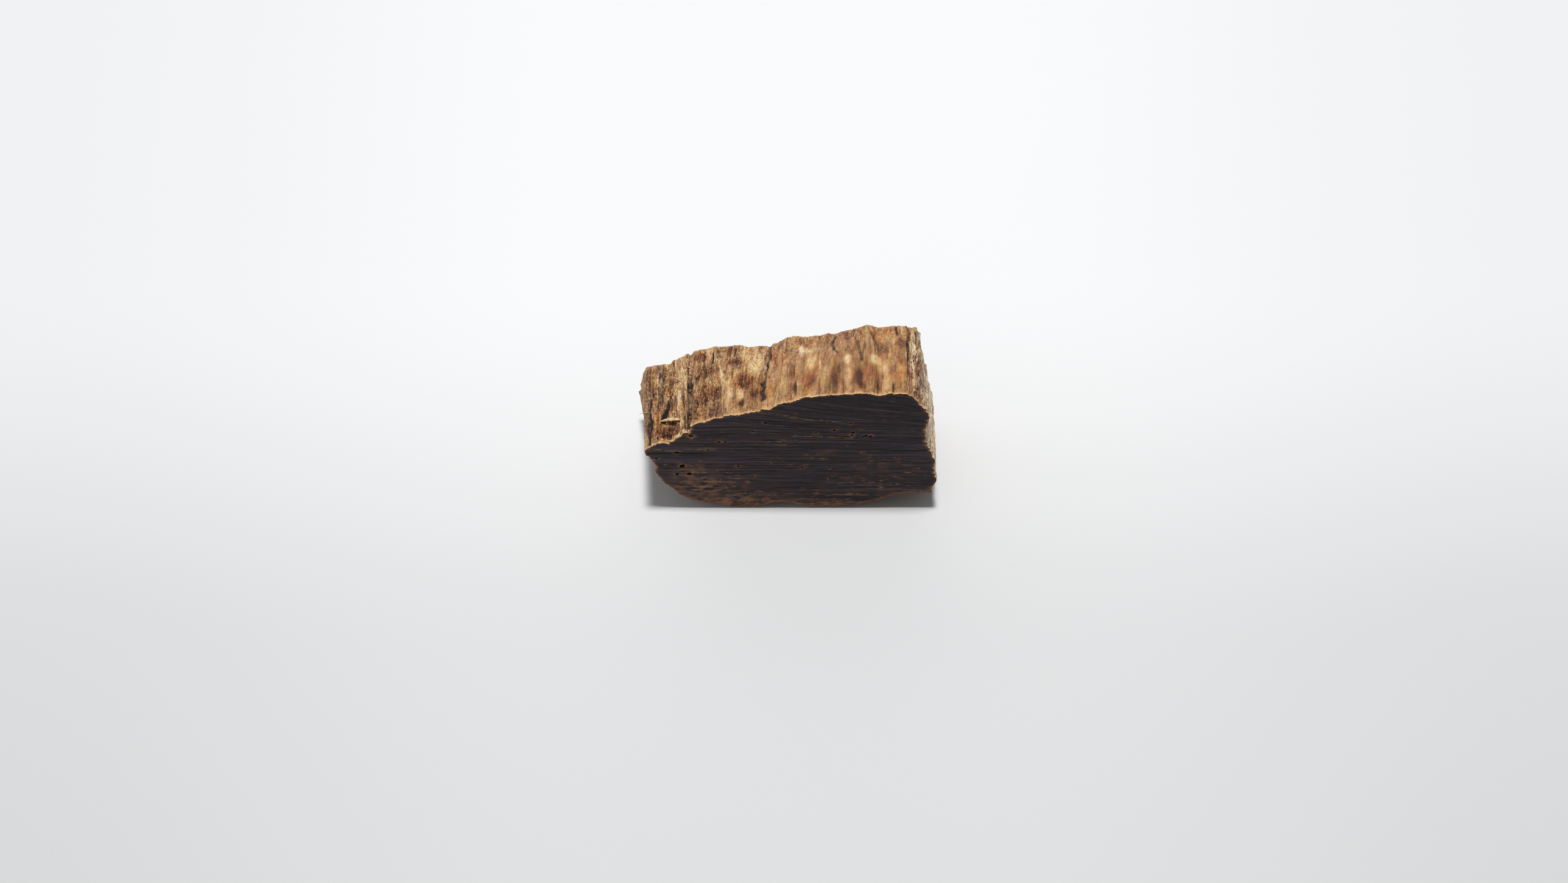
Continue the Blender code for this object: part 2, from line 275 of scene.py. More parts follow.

# Patches of colour on the top: x and depth of the middle, half width, half length, tone from -1
# (darkest) to 1 (palest), and hue from -1 (greyish) to 1 (amber). Most are the wood's own colour; on
# the front of the plateau the dark and pale ones paint the shade of shallow valleys and the light on
# the ridges between them.
PATCHES = (
    (-9.45, 3.8, 0.3, 4.6, -0.36, -0.2),
    (-9.15, 5.6, 0.14, 1.6, 0.18, 0.6),
    (-8.2, 5.4, 1.1, 1.9, -0.12, 0.1),
    (-8.55, 5.2, 0.4, 1.8, 0.0, -0.45),
    (-8.85, 1.4, 0.18, 1.6, -0.02, 0.6),
    (-8.6, 1.7, 0.45, 1.2, -0.32, 0.6),
    (-9.55, 0.6, 0.17, 0.8, 0.55, 0.6),
    (-7.9, 0.9, 0.65, 0.6, -0.62, 0.8),
    (-8.1, 4.6, 0.35, 0.6, 0.0, 0.5),
    (-7.2, 5.6, 0.48, 1.4, 0.4, 0.0),
    (-7.3, 3.0, 0.13, 1.5, 0.38, 0.3),
    (-7.75, 3.0, 0.14, 0.9, -0.32, 0.5),
    (-6.57, 3.0, 0.22, 1.4, -0.3, -0.3),
    (-6.58, 5.6, 0.15, 1.8, -0.12, -0.3),
    (-6.62, 0.9, 0.2, 1.0, -0.6, -0.1),
    (-6.9, 1.6, 0.12, 1.2, -0.25, 0.4),
    (-5.95, 4.2, 0.35, 0.5, -0.62, 0.1),
    (-5.25, 4.7, 0.75, 0.6, -0.54, 0.4),
    (-5.85, 6.3, 0.42, 0.4, -0.48, 0.6),
    (-4.8, 2.7, 0.38, 0.6, -0.5, 0.3),
    (-5.55, 2.6, 0.55, 0.9, -0.68, 0.9),
    (-5.3, 6.4, 0.15, 0.7, 0.36, 0.1),
    (-6.1, 1.3, 0.22, 1.1, -0.5, 0.5),
    (-4.42, 4.2, 0.13, 0.8, 0.6, -0.2),
    (-3.86, 1.7, 0.26, 1.5, 0.4, -0.3),
    (-5.0, 0.9, 0.6, 0.8, -0.5, 0.15),
    (-3.15, 2.0, 0.26, 0.62, 0.72, -0.2),
    (-2.85, 3.2, 0.8, 0.75, -0.46, 1.0),
    (-3.9, 3.5, 0.3, 0.6, 0.1, 0.5),
    (-2.0, 5.3, 0.62, 1.2, 0.58, 0.3),
    (-2.8, 6.1, 0.25, 1.0, 0.34, 0.5),
    (-3.55, 5.25, 0.62, 0.4, -0.5, 0.5),
    (-3.75, 6.3, 0.38, 0.5, -0.12, 0.7),
    (-1.9, 3.4, 0.3, 0.6, 0.05, 0.4),
    (-2.2, 2.0, 0.34, 0.45, -0.55, 0.3),
    (-3.04, 1.0, 0.2, 0.34, -0.68, 0.2),
    (-0.92, 1.6, 0.33, 1.2, 0.04, 0.6),
    (-0.45, 2.2, 0.07, 1.1, 0.45, 0.1),
    (-0.6, 5.2, 0.65, 1.3, -0.1, 0.9),
    (0.33, 2.9, 0.17, 0.7, -0.5, 0.4),
    (0.54, 1.2, 0.12, 0.6, -0.5, 0.6),
    (-0.29, 2.1, 0.15, 1.1, -0.02, 0.4),
    (0.76, 1.4, 0.22, 0.5, 0.32, 0.05),
    (0.99, 5.2, 0.22, 0.6, 0.8, -0.5),
    (1.5, 5.0, 0.3, 0.45, 0.55, 0.0),
    (1.67, 3.6, 0.3, 0.9, 0.52, 0.5),
    (2.2, 3.2, 0.06, 0.6, 0.7, 0.0),
    (1.5, 1.6, 0.5, 0.9, -0.26, 0.9),
    (2.57, 2.0, 0.17, 1.1, 0.28, 0.0),
    (3.25, 1.8, 0.32, 1.3, -0.46, 0.25),
    (3.1, 3.6, 0.35, 0.5, -0.02, 0.4),
    (4.03, 3.4, 0.27, 0.55, 0.8, -0.25),
    (4.04, 1.4, 0.22, 1.2, 0.58, -0.1),
    (4.73, 1.7, 0.34, 0.8, -0.44, 0.2),
    (4.95, 0.8, 0.3, 0.35, -0.5, 0.4),
    (5.3, 2.2, 0.3, 0.9, -0.1, 0.8),
    (5.91, 3.3, 0.44, 0.58, 0.82, -0.2),
    (5.91, 3.3, 0.15, 0.2, -0.3, 0.5),
    (6.26, 2.6, 0.22, 0.7, 0.45, -0.1),
    (6.53, 1.6, 0.26, 1.4, 0.5, 0.0),
    (6.02, 1.2, 0.17, 0.85, -0.42, 0.15),
    (6.86, 4.2, 0.08, 0.8, 0.4, 0.3),
    (7.02, 0.6, 0.12, 0.4, -0.6, 0.2),
    (7.58, 1.9, 0.33, 1.4, 0.0, 1.0),
    (7.55, 2.3, 0.11, 0.24, 0.32, 0.4),
    (7.6, 4.9, 0.4, 0.6, -0.32, 0.8),
    (6.11, 4.8, 0.5, 0.35, -0.16, -0.2),
    (2.6, 6.3, 2.3, 0.9, -0.1, 1.0),
    (6.6, 6.3, 1.3, 0.8, 0.04, 1.0),
    (5.3, 5.9, 0.22, 0.9, 0.42, 0.1),
    (4.6, 2.0, 4.2, 3.2, -0.22, 0.15),
    (8.12, 5.0, 0.1, 1.7, -0.36, 0.4),
    (8.42, 5.0, 0.15, 2.2, 0.46, -0.35),
    (8.4, 2.0, 0.16, 1.5, 0.34, -0.1),
    (8.71, 4.9, 0.1, 1.8, 0.1, -0.5),
    (8.96, 1.9, 0.12, 1.5, -0.42, -0.6),
    (-3.3, 1.7, 1.35, 1.8, -0.2, 0.2),
    (9.3, 3.5, 0.45, 6.0, 0.3, -0.45),
    (9.8, 3.5, 0.45, 6.0, 0.3, -0.45),
)
PATCH_OCTAVES = (
    (0.25, 1.1, 1.0, 1.2),
    (0.12, 0.6, 0.6, 1.2),
)
PATCH_RAGGED = (0.02, 0.12)  # how ragged its outline is: a length and a share of its half width

# Pores of the near sawn face that stand out: x, z and radius.
NEAR_PORES = (
    (-6.42, 9.82, 0.15), (-4.55, 9.04, 0.11), (-4.32, 9.04, 0.09), (-4.16, 9.10, 0.07),
    (-7.44, 7.62, 0.12), (-7.24, 7.64, 0.11), (-7.08, 5.79, 0.18), (-6.87, 5.88, 0.12),
    (-6.62, 4.70, 0.18), (-6.42, 4.84, 0.13), (-7.48, 4.67, 0.12), (-7.30, 4.72, 0.10),
    (-8.82, 6.83, 0.10), (-5.35, 8.03, 0.07), (-3.30, 5.72, 0.10), (-3.12, 5.72, 0.09),
    (-2.31, 4.45, 0.07), (-2.28, 10.44, 0.07), (-1.46, 11.59, 0.09), (1.94, 10.19, 0.07),
    (2.06, 10.20, 0.06), (3.18, 10.60, 0.09), (4.36, 9.97, 0.09), (4.43, 10.29, 0.09),
    (4.52, 10.36, 0.06), (5.14, 9.76, 0.07), (5.30, 9.91, 0.09), (5.61, 9.80, 0.09),
    (1.25, 5.79, 0.06), (1.01, 5.57, 0.06), (5.49, 7.15, 0.06), (4.26, 11.53, 0.06),
)
SMALL_PORES = 45  # on each sawn face
SMALL_PORE_RADIUS = (0.030, 0.05)
FAR_PORES = 26  # larger ones on the far sawn face
FAR_PORE_RADIUS = (0.05, 0.13)
PORE_SIDES = 8
PORE_DEPTH = 2.2  # against its radius
PORE_RINGS = ((1.15, 0.0), (0.85, 0.6), (0.35, 1.0))  # shares of the radius and of the depth
PORE_WOBBLE = (0.85, 1.15)
PORE_CLEARANCE = 1.2  # of the radius, free of other points
PORE_GAP = 0.03  # between two pores
PORE_RIM = 0.16  # how far a pore's brown surround reaches
BROWN_PORE_RADIUS = 0.12  # from here on the surround is fully brown
# Painted shade in the pores: their colour darkens with depth, black from this depth down.
PORE_SHADE_DEPTH = 0.08

# Thin golden growth lines of the sawn wood, as points (x, z).
GOLD_LINES = (
    ((-2.6, 13.05), (-1.0, 12.76), (0.5, 12.30), (1.5, 11.95), (2.9, 11.80), (4.1, 11.53)),
    ((0.4, 9.85), (2.4, 9.72), (4.4, 9.52)),
    ((-9.3, 8.05), (-7.9, 7.86), (-6.8, 7.94), (-5.4, 8.03), (-4.8, 8.06)),
)
GOLD_HALF_WIDTH = 0.06
EDGE_WIDTH = 0.09  # of the brown line round a sawn face
LOW_EDGE_WIDTH = 0.19  # of this line near the chip's foot,
LOW_EDGE_TOP = 3.0  # up to this height

# Rusty brown areas of the sawn wood: (x, z) of the middle, half sizes (x, z) and strength.
RUST_AREAS = (
    ((-6.6, 4.9), (0.9, 1.1), 0.80),
    ((-5.6, 3.0), (2.2, 1.5), 0.95),
    ((-3.6, 1.0), (3.5, 1.0), 1.00),
    ((0.5, 0.5), (5.0, 0.6), 0.95),
    ((6.3, 5.9), (2.0, 0.8), 0.24),
    ((6.2, 3.3), (2.4, 1.0), 0.24),
    ((3.6, 4.0), (0.9, 0.6), 0.28),
    ((8.6, 5.1), (0.8, 0.7), 0.24),
    ((7.6, 2.3), (2.2, 0.6), 0.28),
    ((3.9, 1.86), (2.7, 0.12), 0.95),
    ((-0.6, 9.0), (2.0, 0.35), 0.30),
    ((2.0, 7.2), (0.8, 0.5), 0.30),
)
# The growth lines of the sawn faces sink towards the right, the more the higher they are.
LINES_SINK = 0.0075
LINES_SINK_FROM = (-3.0, 7.0)  # (x, z)

# Loose fibres of the top: (x, depth) of the root, heading in degrees from +X towards +Y, length,
# how steeply it rises in degrees, and radius.
TOP_FIBRES = (
    ((-7.55, 4.2), 58, 1.25, 30, 0.076),
    ((-7.05, 4.8), 158, 1.00, 28, 0.064),
    ((-6.30, 5.3), 165, 0.70, 26, 0.050),
    ((-9.40, 3.1), 190, 0.62, 4, 0.032),
    ((-0.45, 3.5), 70, 0.32, 20, 0.022),
    ((-0.40, 4.5), 85, 0.35, 10, 0.022),
    ((-8.85, 0.5), 60, 0.45, 25, 0.020),
    ((-8.75, 0.3), 120, 0.40, 30, 0.018),
    ((-6.95, 1.1), 30, 0.50, 12, 0.022),
    ((-5.35, 6.6), 95, 0.45, 25, 0.016),
    ((-6.90, 6.6), 80, 0.50, 25, 0.016),
    ((6.95, 5.4), 110, 0.60, 12, 0.020),
    ((7.90, 6.6), 100, 0.30, 30, 0.016),
    ((1.80, 5.2), 100, 0.50, 12, 0.016),
)
# Hairs of the right side: (depth, height) of the root, length, how far outwards it leans in
# degrees, and radius.
SIDE_HAIRS = (
    ((4.4, 11.8), 0.70, 26, 0.022),
    ((3.4, 10.8), 0.90, 30, 0.020),
    ((2.6, 9.4), 1.20, 20, 0.024),
    ((2.2, 8.2), 0.60, 22, 0.020),
)
HAIR_DIRECTION = (-0.75, -0.45)  # along Y and Z
FUZZ_COUNT = 90  # short fibres at random on the rough parts of the split surface
FUZZ_LENGTH = (0.12, 0.38)
FUZZ_RADIUS = (0.010, 0.018)
FUZZ_RISE = (0.1, 0.5)  # out of the surface, against 1 along the grain
FUZZ_TURN = 0.4  # sideways
FUZZ_CRISP = 0.95  # it grows only where the surface is rougher than this,
FUZZ_FLOOR = 3.0  # higher than this
FUZZ_MARGIN = 0.1  # and farther than this from the sawn faces
FIBRE_SIDES = 5
FIBRE_RINGS = 6
FIBRE_TIP = 0.35  # radius of a fibre's tip, against its root's
FIBRE_ROOT = 0.12  # share of its length that is inside the wood
FIBRE_BEND = 0.18  # sideways, against its length
FIBRE_DROOP = 0.15  # downwards, against its length
HAIR_DROOP = 0.10
FUZZ_DROOP = 0.05
CROSSWAYS = (0.31, 0.17, 0.93)  # a direction that no fibre runs along
# The splinter that bridges the torn pit: (x, depth) and height over the surface at both ends.
SPLINTER_ENDS = ((-8.52, 1.92, 0.06), (-7.20, 1.55, 0.02))
SPLINTER_RADIUS = 0.15
SPLINTER_TIP = 0.55  # radius of its ends, against its middle's
SPLINTER_UNEVEN = (0.8, 1.2)
SPLINTER_POINTS = 12
SPLINTER_SIDES = 8
SPLINTER_FLATNESS = 0.6
SPLINTER_ARCH = 0.10
SPLINTER_WOBBLE = 0.015
STRIP_OFFSET = (0.10, 0.09, -0.03)  # of the thin strip that lies along the splinter
STRIP_RADIUS = 0.45  # against the splinter's
STRIP_START = 2  # the splinter's point that it starts beside
STRIP_SIDES = 6
CRUMB_COUNT = 22
CRUMB_AREA = ((-8.5, -6.4), (0.05, 0.42))  # ranges of x and depth
CRUMB_RADIUS = (0.05, 0.12)
CRUMB_STRETCH = (0.45, 1.6)  # along each axis
CRUMB_JITTER = (0.6, 1.25)  # how far a crumb's corners lie in or out
CRUMB_SINK = 0.4  # of its half height

# The camera looks along +Y and down. The chip's width in the photograph gives a pixel's length.
PHOTO_WIDTH_PX = 2576
PHOTO_HEIGHT_PX = 1450
CHIP_WIDTH = 20.0
CHIP_WIDTH_PX = 479.0
PIXEL = CHIP_WIDTH / CHIP_WIDTH_PX
CAMERA_ELEVATION = math.radians(60.0)
CAMERA_DISTANCE = 380.0
FOOT_PX = (1293, 834)  # where the middle of the near face's foot line lies in the photograph
SENSOR_WIDTH = 36.0


def smooth_step(share):
    return share * share * (3 - 2 * share)


# The chip's outlines


def line_points(depth):
    """The point (x, z) where each grain line passes the plane at this depth."""
    share = depth / THICKNESS
    bow_share = 4 * share * (1 - share)
    points = []
    for lines, outward, _ in SIDES:
        for x0, z0, x1, z1, bow in lines:
            x = x0 + (x1 - x0) * share + outward[0] * bow * bow_share
            z = z0 + (z1 - z0) * share + outward[1] * bow * bow_share
            points.append((x, z))
    return np.array(points)


def points_per_gap():
    """How many points of an outline lie from each grain line to the next."""
    halfway = line_points(THICKNESS / 2)
    gaps = np.hypot(*(np.roll(halfway, -1, axis=0) - halfway).T)
    spacings = np.repeat([side[2] for side in SIDES], [len(side[0]) for side in SIDES])
    return np.maximum(1, np.round(gaps / spacings)).astype(int)


def make_ribs(perimeter):
    """Seeded fibre ribs: each one's place round the outline, half width, height and drift."""
    rng = random.Random(RIB_SEED)
    return [
        (
            rng.uniform(0, perimeter),
            rng.uniform(*RIB_HALF_WIDTH),
            rng.uniform(-RIB_HEIGHT, RIB_HEIGHT),
            rng.uniform(-RIB_DRIFT, RIB_DRIFT),
        )
        for _ in range(round(perimeter / RIB_SPACING))
    ]


def rib_relief(places, perimeter, depth, ribs):
    """How far the ribs stand out at these places round the outline."""
    relief = np.zeros(len(places))
    for place, half_width, height, drift in ribs:
        away = places - place - drift * depth
        away -= perimeter * np.round(away / perimeter)
        relief += height * np.exp(-((away / half_width) ** 2))
    return relief


def outward_normals(ring):
    """Unit normals of an outline that runs clockwise, seen along +Y."""
    along = np.roll(ring, -1, axis=0) - np.roll(ring, 1, axis=0)
    normals = np.column_stack([-along[:, 1], along[:, 0]])
    return normals / np.linalg.norm(normals, axis=1)[:, None]


def outline_at(depth, counts):
    """The chip's outline at this depth without its ribs, as points (x, z)."""
    corners = line_points(depth)
    ring = []
    for corner, following, count in zip(corners, np.roll(corners, -1, axis=0), counts):
        shares = np.arange(count)[:, None] / count
        ring.append(corner + (following - corner) * shares)
    ring = np.concatenate(ring)
    return (np.roll(ring, 1, axis=0) + 6 * ring + np.roll(ring, -1, axis=0)) / 8


def raw_rings(depths):
    """The outlines at these depths with their ribs: an array of depths by points by (x, y, z)."""
    counts = points_per_gap()
    halfway = outline_at(THICKNESS / 2, counts)
    steps = np.hypot(*(np.roll(halfway, -1, axis=0) - halfway).T)
    perimeter = steps.sum()
    places = np.concatenate([[0], np.cumsum(steps)[:-1]])
    ribs = make_ribs(perimeter)
    rings = np.zeros((len(depths), len(places), 3))
    for ring, depth in zip(rings, depths):
        flat = outline_at(depth, counts)
        normals = outward_normals(flat)
        shares = np.where(normals[:, 1] < -0.5, UNDER_SHARE, 1.0)
        relief = rib_relief(places, perimeter, depth, ribs) * shares
        ring[:, [0, 2]] = flat + normals * relief[:, None]
        ring[:, 1] = depth
    return rings


def chip_rings(depths):
    """The outlines at these depths, placed as the CAD solid is: on z = 0 and in the middle."""
    solid = raw_rings(np.linspace(0, THICKNESS, STATIONS))
    middle = (solid.min(axis=(0, 1)) + solid.max(axis=(0, 1))) / 2
    foot = solid[:, :, 2].min() + RUBBED_FOOT
    rings = raw_rings(depths) - (middle[0], middle[1], foot)
    rings[:, :, 2] = np.maximum(rings[:, :, 2], 0)
    return rings


def row_depths():
    edge = np.array(EDGE_ROWS)
    middle = np.linspace(edge[-1], THICKNESS - edge[-1], MIDDLE_ROWS + 2)[1:-1]
    return np.concatenate([edge, middle, THICKNESS - edge[::-1]])


def refine_round(rings):
    """Fills each gap round the outlines with points on Catmull-Rom curves."""
    p0, p1, p2, p3 = (np.roll(rings, shift, axis=1) for shift in (1, 0, -1, -2))
    filled = [
        0.5
        * (
            2 * p1
            + (p2 - p0) * t
            + (2 * p0 - 5 * p1 + 4 * p2 - p3) * t**2
            + (3 * p1 - p0 - 3 * p2 + p3) * t**3
        )
        for t in np.arange(ROUND_STEPS) / ROUND_STEPS
    ]
    return np.stack(filled, axis=2).reshape(len(rings), -1, 3)


def blur_round(values, half_width):
    """A running mean round the chip, over this many points on each side."""
    total = values.copy()
    for shift in range(1, half_width + 1):
        total += np.roll(values, shift, axis=1) + np.roll(values, -shift, axis=1)
    return total / (2 * half_width + 1)


# The split surface


def unit(vectors):
    return vectors / np.linalg.norm(vectors, axis=-1, keepdims=True)


def smooth_normals(grid):
    """Outward normals across the grain, averaged round the chip."""
    along_ring = np.roll(grid, -1, axis=1) - np.roll(grid, 1, axis=1)
    level = np.zeros(grid.shape[:2])
    normals = unit(np.stack([-along_ring[:, :, 2], level, along_ring[:, :, 0]], -1))
    return unit(blur_round(blur_round(normals, NORMAL_BLUR), NORMAL_BLUR))


def facing(towards, start, gain):
    """1 where the surface faces this way, falling to 0 where it turns away."""
    return np.clip((towards - start) * gain, 0, 1)


class SplitSide:
    """The split side before its relief: rows of points round the chip, and how each of them faces."""

    def __init__(self):
        self.grid = refine_round(chip_rings(row_depths()))
        self.shape = self.grid.shape[:2]
        self.halfway = self.grid[len(self.grid) // 2]
        steps = np.linalg.norm(np.roll(self.halfway, -1, axis=0) - self.halfway, axis=1)
        self.perimeter = steps.sum()
        self.places = np.broadcast_to(np.concatenate([[0], np.cumsum(steps)[:-1]]), self.shape)
        self.x = self.grid[:, :, 0]
        self.depths = self.grid[:, :, 1] + THICKNESS / 2
        self.to_edge = np.minimum(self.depths, THICKNESS - self.depths)
        self.far = self.depths > THICKNESS / 2
        self.normals = smooth_normals(self.grid)
        rightwards, upwards = self.normals[:, :, 0], self.normals[:, :, 2]
        self.top = facing(upwards, 0, 3)
        self.under = facing(-upwards, 0, 2)
        self.right = facing(rightwards, 0.25, 2)
        self.left = facing(-rightwards, 0.25, 2)

    def noise(self, width, length, sharpness, rng):
        """Random values from -1 to 1 in cells that lie along the grain, each column ending by itself."""
        columns = max(4, round(self.perimeter / width))
        rows = math.ceil(self.depths.max() / length) + 3
        lattice = rng.uniform(-1, 1, (rows, columns))
        offsets = rng.uniform(0, 1, columns)
        across = self.places / self.perimeter * columns
        column = np.floor(across).astype(int)
        side = smooth_step(np.clip((across - column - 0.5) * sharpness + 0.5, 0, 1))

        def column_value(c):
            along = self.depths / length + offsets[c]
            row = np.floor(along).astype(int)
            end = (along - row - 0.5) * sharpness * END_SHARPNESS
            end = smooth_step(np.clip(end + 0.5, 0, 1))
            return lattice[row, c] * (1 - end) + lattice[row + 1, c] * end

        near, far = column_value(column % columns), column_value((column + 1) % columns)
        return near * (1 - side) + far * side

    def octaves(self, rows, rng):
        """A sum of noises: cell width, cell length, height and edge sharpness of each."""
        total = np.zeros(self.shape)
        for width, length, height, sharpness in rows:
            total += height * self.noise(width, length, sharpness, rng)
        return total

    def area(self, middle, half_sizes, shift=0):
        """1 in the middle of an area (x, depth), falling to 0 outside it."""
        across = (self.x + shift - middle[0]) / half_sizes[0]
        along = (self.depths - middle[1]) / half_sizes[1]
        return np.exp(-((across**2 + along**2) ** AREA_POWER))

    def areas(self, base, rows):
        """The base with areas added: each one's middle, half sizes and height."""
        return sum((height * self.area(middle, half_sizes) for middle, half_sizes, height in rows), base)


def edge_chips(split, rng):
    """How far the ragged sawn edges stand out."""
    chips = split.octaves(CHIP_OCTAVES, rng)
    chips *= np.where(split.far, FAR_CHIPS, 1.0)
    chips *= 1 - RIGHT_CALM * split.right - LEFT_CALM * np.maximum(split.under, split.left)
    return CHIP_HEIGHT * chips * np.exp(-split.to_edge / CHIP_REACH)


def fibre_relief(split, crisp, rng):
    """How far each point stands out, before the grooves are cut."""
    relief = split.octaves(FIBRE_OCTAVES, rng)
    relief *= crisp * (1 + (SIDE_ROUGHNESS - 1) * split.right + (UNDER_ROUGHNESS - 1) * split.under)
    relief *= 1 + (LEFT_ROUGHNESS - 1) * split.left
    towards_far = smooth_step(np.clip(split.depths - THICKNESS + FAR_REACH, 0, 1))
    relief *= 1 + (FAR_ROUGHNESS - 1) * split.top * towards_far
    return relief + edge_chips(split, rng)


def wandering(depths, step, rng):
    """Values from -1 to 1 that change slowly with the depth."""
    knots = np.arange(0, THICKNESS + 2 * step, step)
    return np.interp(depths, knots, rng.uniform(-1, 1, len(knots)))


def groove_share(split, start, end, half_width, rng):
    """1 along the middle of a groove from start to end, falling to 0 at its sides and ends."""
    depths = split.depths
    share = np.clip((depths - start[1]) / (end[1] - start[1]), 0, 1)
    middle = start[0] + (end[0] - start[0]) * share
    stray = GROOVE_STRAY[0] + GROOVE_STRAY[1] * half_width
    middle = middle + stray * wandering(depths, GROOVE_STRAY_STEP, rng)
    width = half_width * (1 + GROOVE_UNEVEN * wandering(depths, GROOVE_UNEVEN_STEP, rng))
    beyond = np.maximum(np.maximum(start[1] - depths, depths - end[1]), 0)
    beyond /= GROOVE_TAPER * half_width
    return np.exp(-(((split.x - middle) / width) ** 2) - beyond**2)


def cut_grooves(split, relief, rng):
    """Cuts the grooves into the relief. Returns how strong the dark stain in them is, which is partly
    dark wood and partly painted shade.
    """
    stain_and_shade = np.zeros(split.shape)
    for x0, depth0, x1, depth1, half_width, deep, dark in GROOVES:
        share = groove_share(split, (x0, depth0), (x1, depth1), half_width, rng) * split.top
        relief -= deep * share
        stain_and_shade = np.maximum(stain_and_shade, dark * np.minimum(1, STAIN_SPREAD * share))
    return stain_and_shade


def patch_colours(split, rng):
    """The tone and the hue of each point."""
    # painted shade: the underside is darkened
    tone = UNDER_SHADE_TONE * split.under
    amber = TOP_AMBER + UNDER_AMBER * split.under
    for x, depth, half_width, half_length, lighter, more_amber in PATCHES:
        ragged = split.octaves(PATCH_OCTAVES, rng)
        ragged *= PATCH_RAGGED[0] + PATCH_RAGGED[1] * half_width
        share = split.area((x, depth), (half_width, half_length), ragged)
        share *= np.maximum(split.top, split.right)
        tone += lighter * share
        amber += more_amber * share
    return tone, amber


def pale_rim_and_highlight(split, rng):
    """1 at the sawn edges, falling to 0 where their pale rim and painted highlight end."""
    width = RIM_WIDTH[0] + RIM_WIDTH[1] * split.noise(*RIM_NOISE, rng)
    rim_and_highlight = np.clip(RIM_END - split.to_edge / width, 0, 1) * np.clip(split.top + split.right, 0, 1)
    return rim_and_highlight * np.where(split.far, FAR_RIM_SHARE, 1.0)


def split_surface(rng):
    """The split side with its relief: its points and normals, and the masks its material reads."""
    split = SplitSide()
    crisp = split.top * split.areas(TOP_ROUGHNESS, CRISP_AREAS) + (1 - split.top)
    relief = fibre_relief(split, crisp, rng)
    stain_and_shade = cut_grooves(split, relief, rng)
    tone, amber = patch_colours(split, rng)
    rim_and_highlight = pale_rim_and_highlight(split, rng)
    points = split.grid + split.normals * relief[:, :, None]
    points[:, :, 2] = np.maximum(points[:, :, 2], 0)
    wood = split.grid.copy()
    wood[:, :, [0, 2]] = split.halfway[:, [0, 2]]
    masks = {
        "tone": np.clip(tone, -1, 1),
        "amber": np.clip(amber, -1, 1),
        "stain_and_shade": np.clip(stain_and_shade, 0, 1),
        # painted shade: darker in the relief's hollows, paler on its ridges
        "hollow_shade": np.clip(-relief / FULL_HOLLOW, -1, 1),
        "crisp": crisp,
        "rim_and_highlight": rim_and_highlight,
        "side": np.clip(split.areas(split.right, STRIPED_AREAS), 0, 1),
        "wood": wood,
    }
    return points, split.normals, masks


# The sawn faces


def inside(points, outline):
    """Which points lie inside a closed outline, both as (x, z)."""
    crossings = np.zeros(len(points), int)
    for (x0, z0), (x1, z1) in zip(outline, np.roll(outline, -1, axis=0)):
        spans = (z0 > points[:, 1]) != (z1 > points[:, 1])
        if spans.any():
            cut = x0 + (x1 - x0) * (points[spans, 1] - z0) / (z1 - z0)
            crossings[spans] += points[spans, 0] < cut
    return crossings % 2 == 1


def random_pores(count, radii, outline, rng):
    low, high = outline.min(axis=0), outline.max(axis=0)
    pores = []
    while len(pores) < count:
        spot = rng.uniform(low, high)
        if inside(spot[None], outline)[0]:
            pores.append((*spot, rng.uniform(*radii)))
    return pores


def tree_of(points):
    """A search tree of points (x, z)."""
    tree = KDTree(len(points))
    for i, (x, z) in enumerate(points):
        tree.insert((x, 0, z), i)
    tree.balance()
    return tree


def distances(points, tree):
    return np.array([tree.find((x, 0, z))[2] for x, z in points])


def clear_pores(pores, tree):
    """The pores that lie clear of the outline and of those before them."""
    kept = []
    for x, z, radius in pores:
        edge = tree.find((x, 0, z))[2] - radius
        apart = min((math.hypot(x - a, z - b) - radius - r for a, b, r in kept), default=1)
        if edge > FACE_MARGIN and apart > PORE_GAP:
            kept.append((x, z, radius))
    return np.array(kept)


def distance_to_line(points, line):
    best = np.full(len(points), np.inf)
    for a, b in zip(np.array(line[:-1]), np.array(line[1:])):
        share = np.clip(((points - a) @ (b - a)) / ((b - a) @ (b - a)), 0, 1)
        best = np.minimum(best, np.linalg.norm(points - a - share[:, None] * (b - a), axis=1))
    return best


def face_lattice(outline, pores, tree, rng):
    """Points (x, z) all over a sawn face, clear of its outline and its pores."""
    low, high = outline.min(axis=0), outline.max(axis=0)
    across, up = (np.arange(low[i], high[i], FACE_SPACING) for i in (0, 1))
    lattice = np.stack(np.meshgrid(across, up), -1).reshape(-1, 2)
    lattice += rng.uniform(-FACE_JITTER, FACE_JITTER, lattice.shape) * FACE_SPACING
    lattice = lattice[inside(lattice, outline)]
    lattice = lattice[distances(lattice, tree) > FACE_MARGIN]
    nearest = np.full(len(lattice), np.inf)
    for x, z, radius in pores:
        nearest = np.minimum(nearest, np.hypot(*(lattice - (x, z)).T) - PORE_CLEARANCE * radius)
    return lattice[nearest > LATTICE_GAP]


def pore_points(pores, rng):
    """The points (x, z) of the rings in each pore, and how deep they lie under the sawn plane."""
    turns = np.arange(PORE_SIDES) / PORE_SIDES * math.tau
    ring = np.column_stack([np.cos(turns), np.sin(turns)])
    points, sunk = [], []
    for x, z, radius in pores:
        wobble = rng.uniform(*PORE_WOBBLE, (PORE_SIDES, 1))
        for share, deep in PORE_RINGS:
            points.append((x, z) + ring * wobble * radius * share)
            sunk.append(np.full(PORE_SIDES, deep * radius * PORE_DEPTH))
    return np.concatenate(points), np.concatenate(sunk)


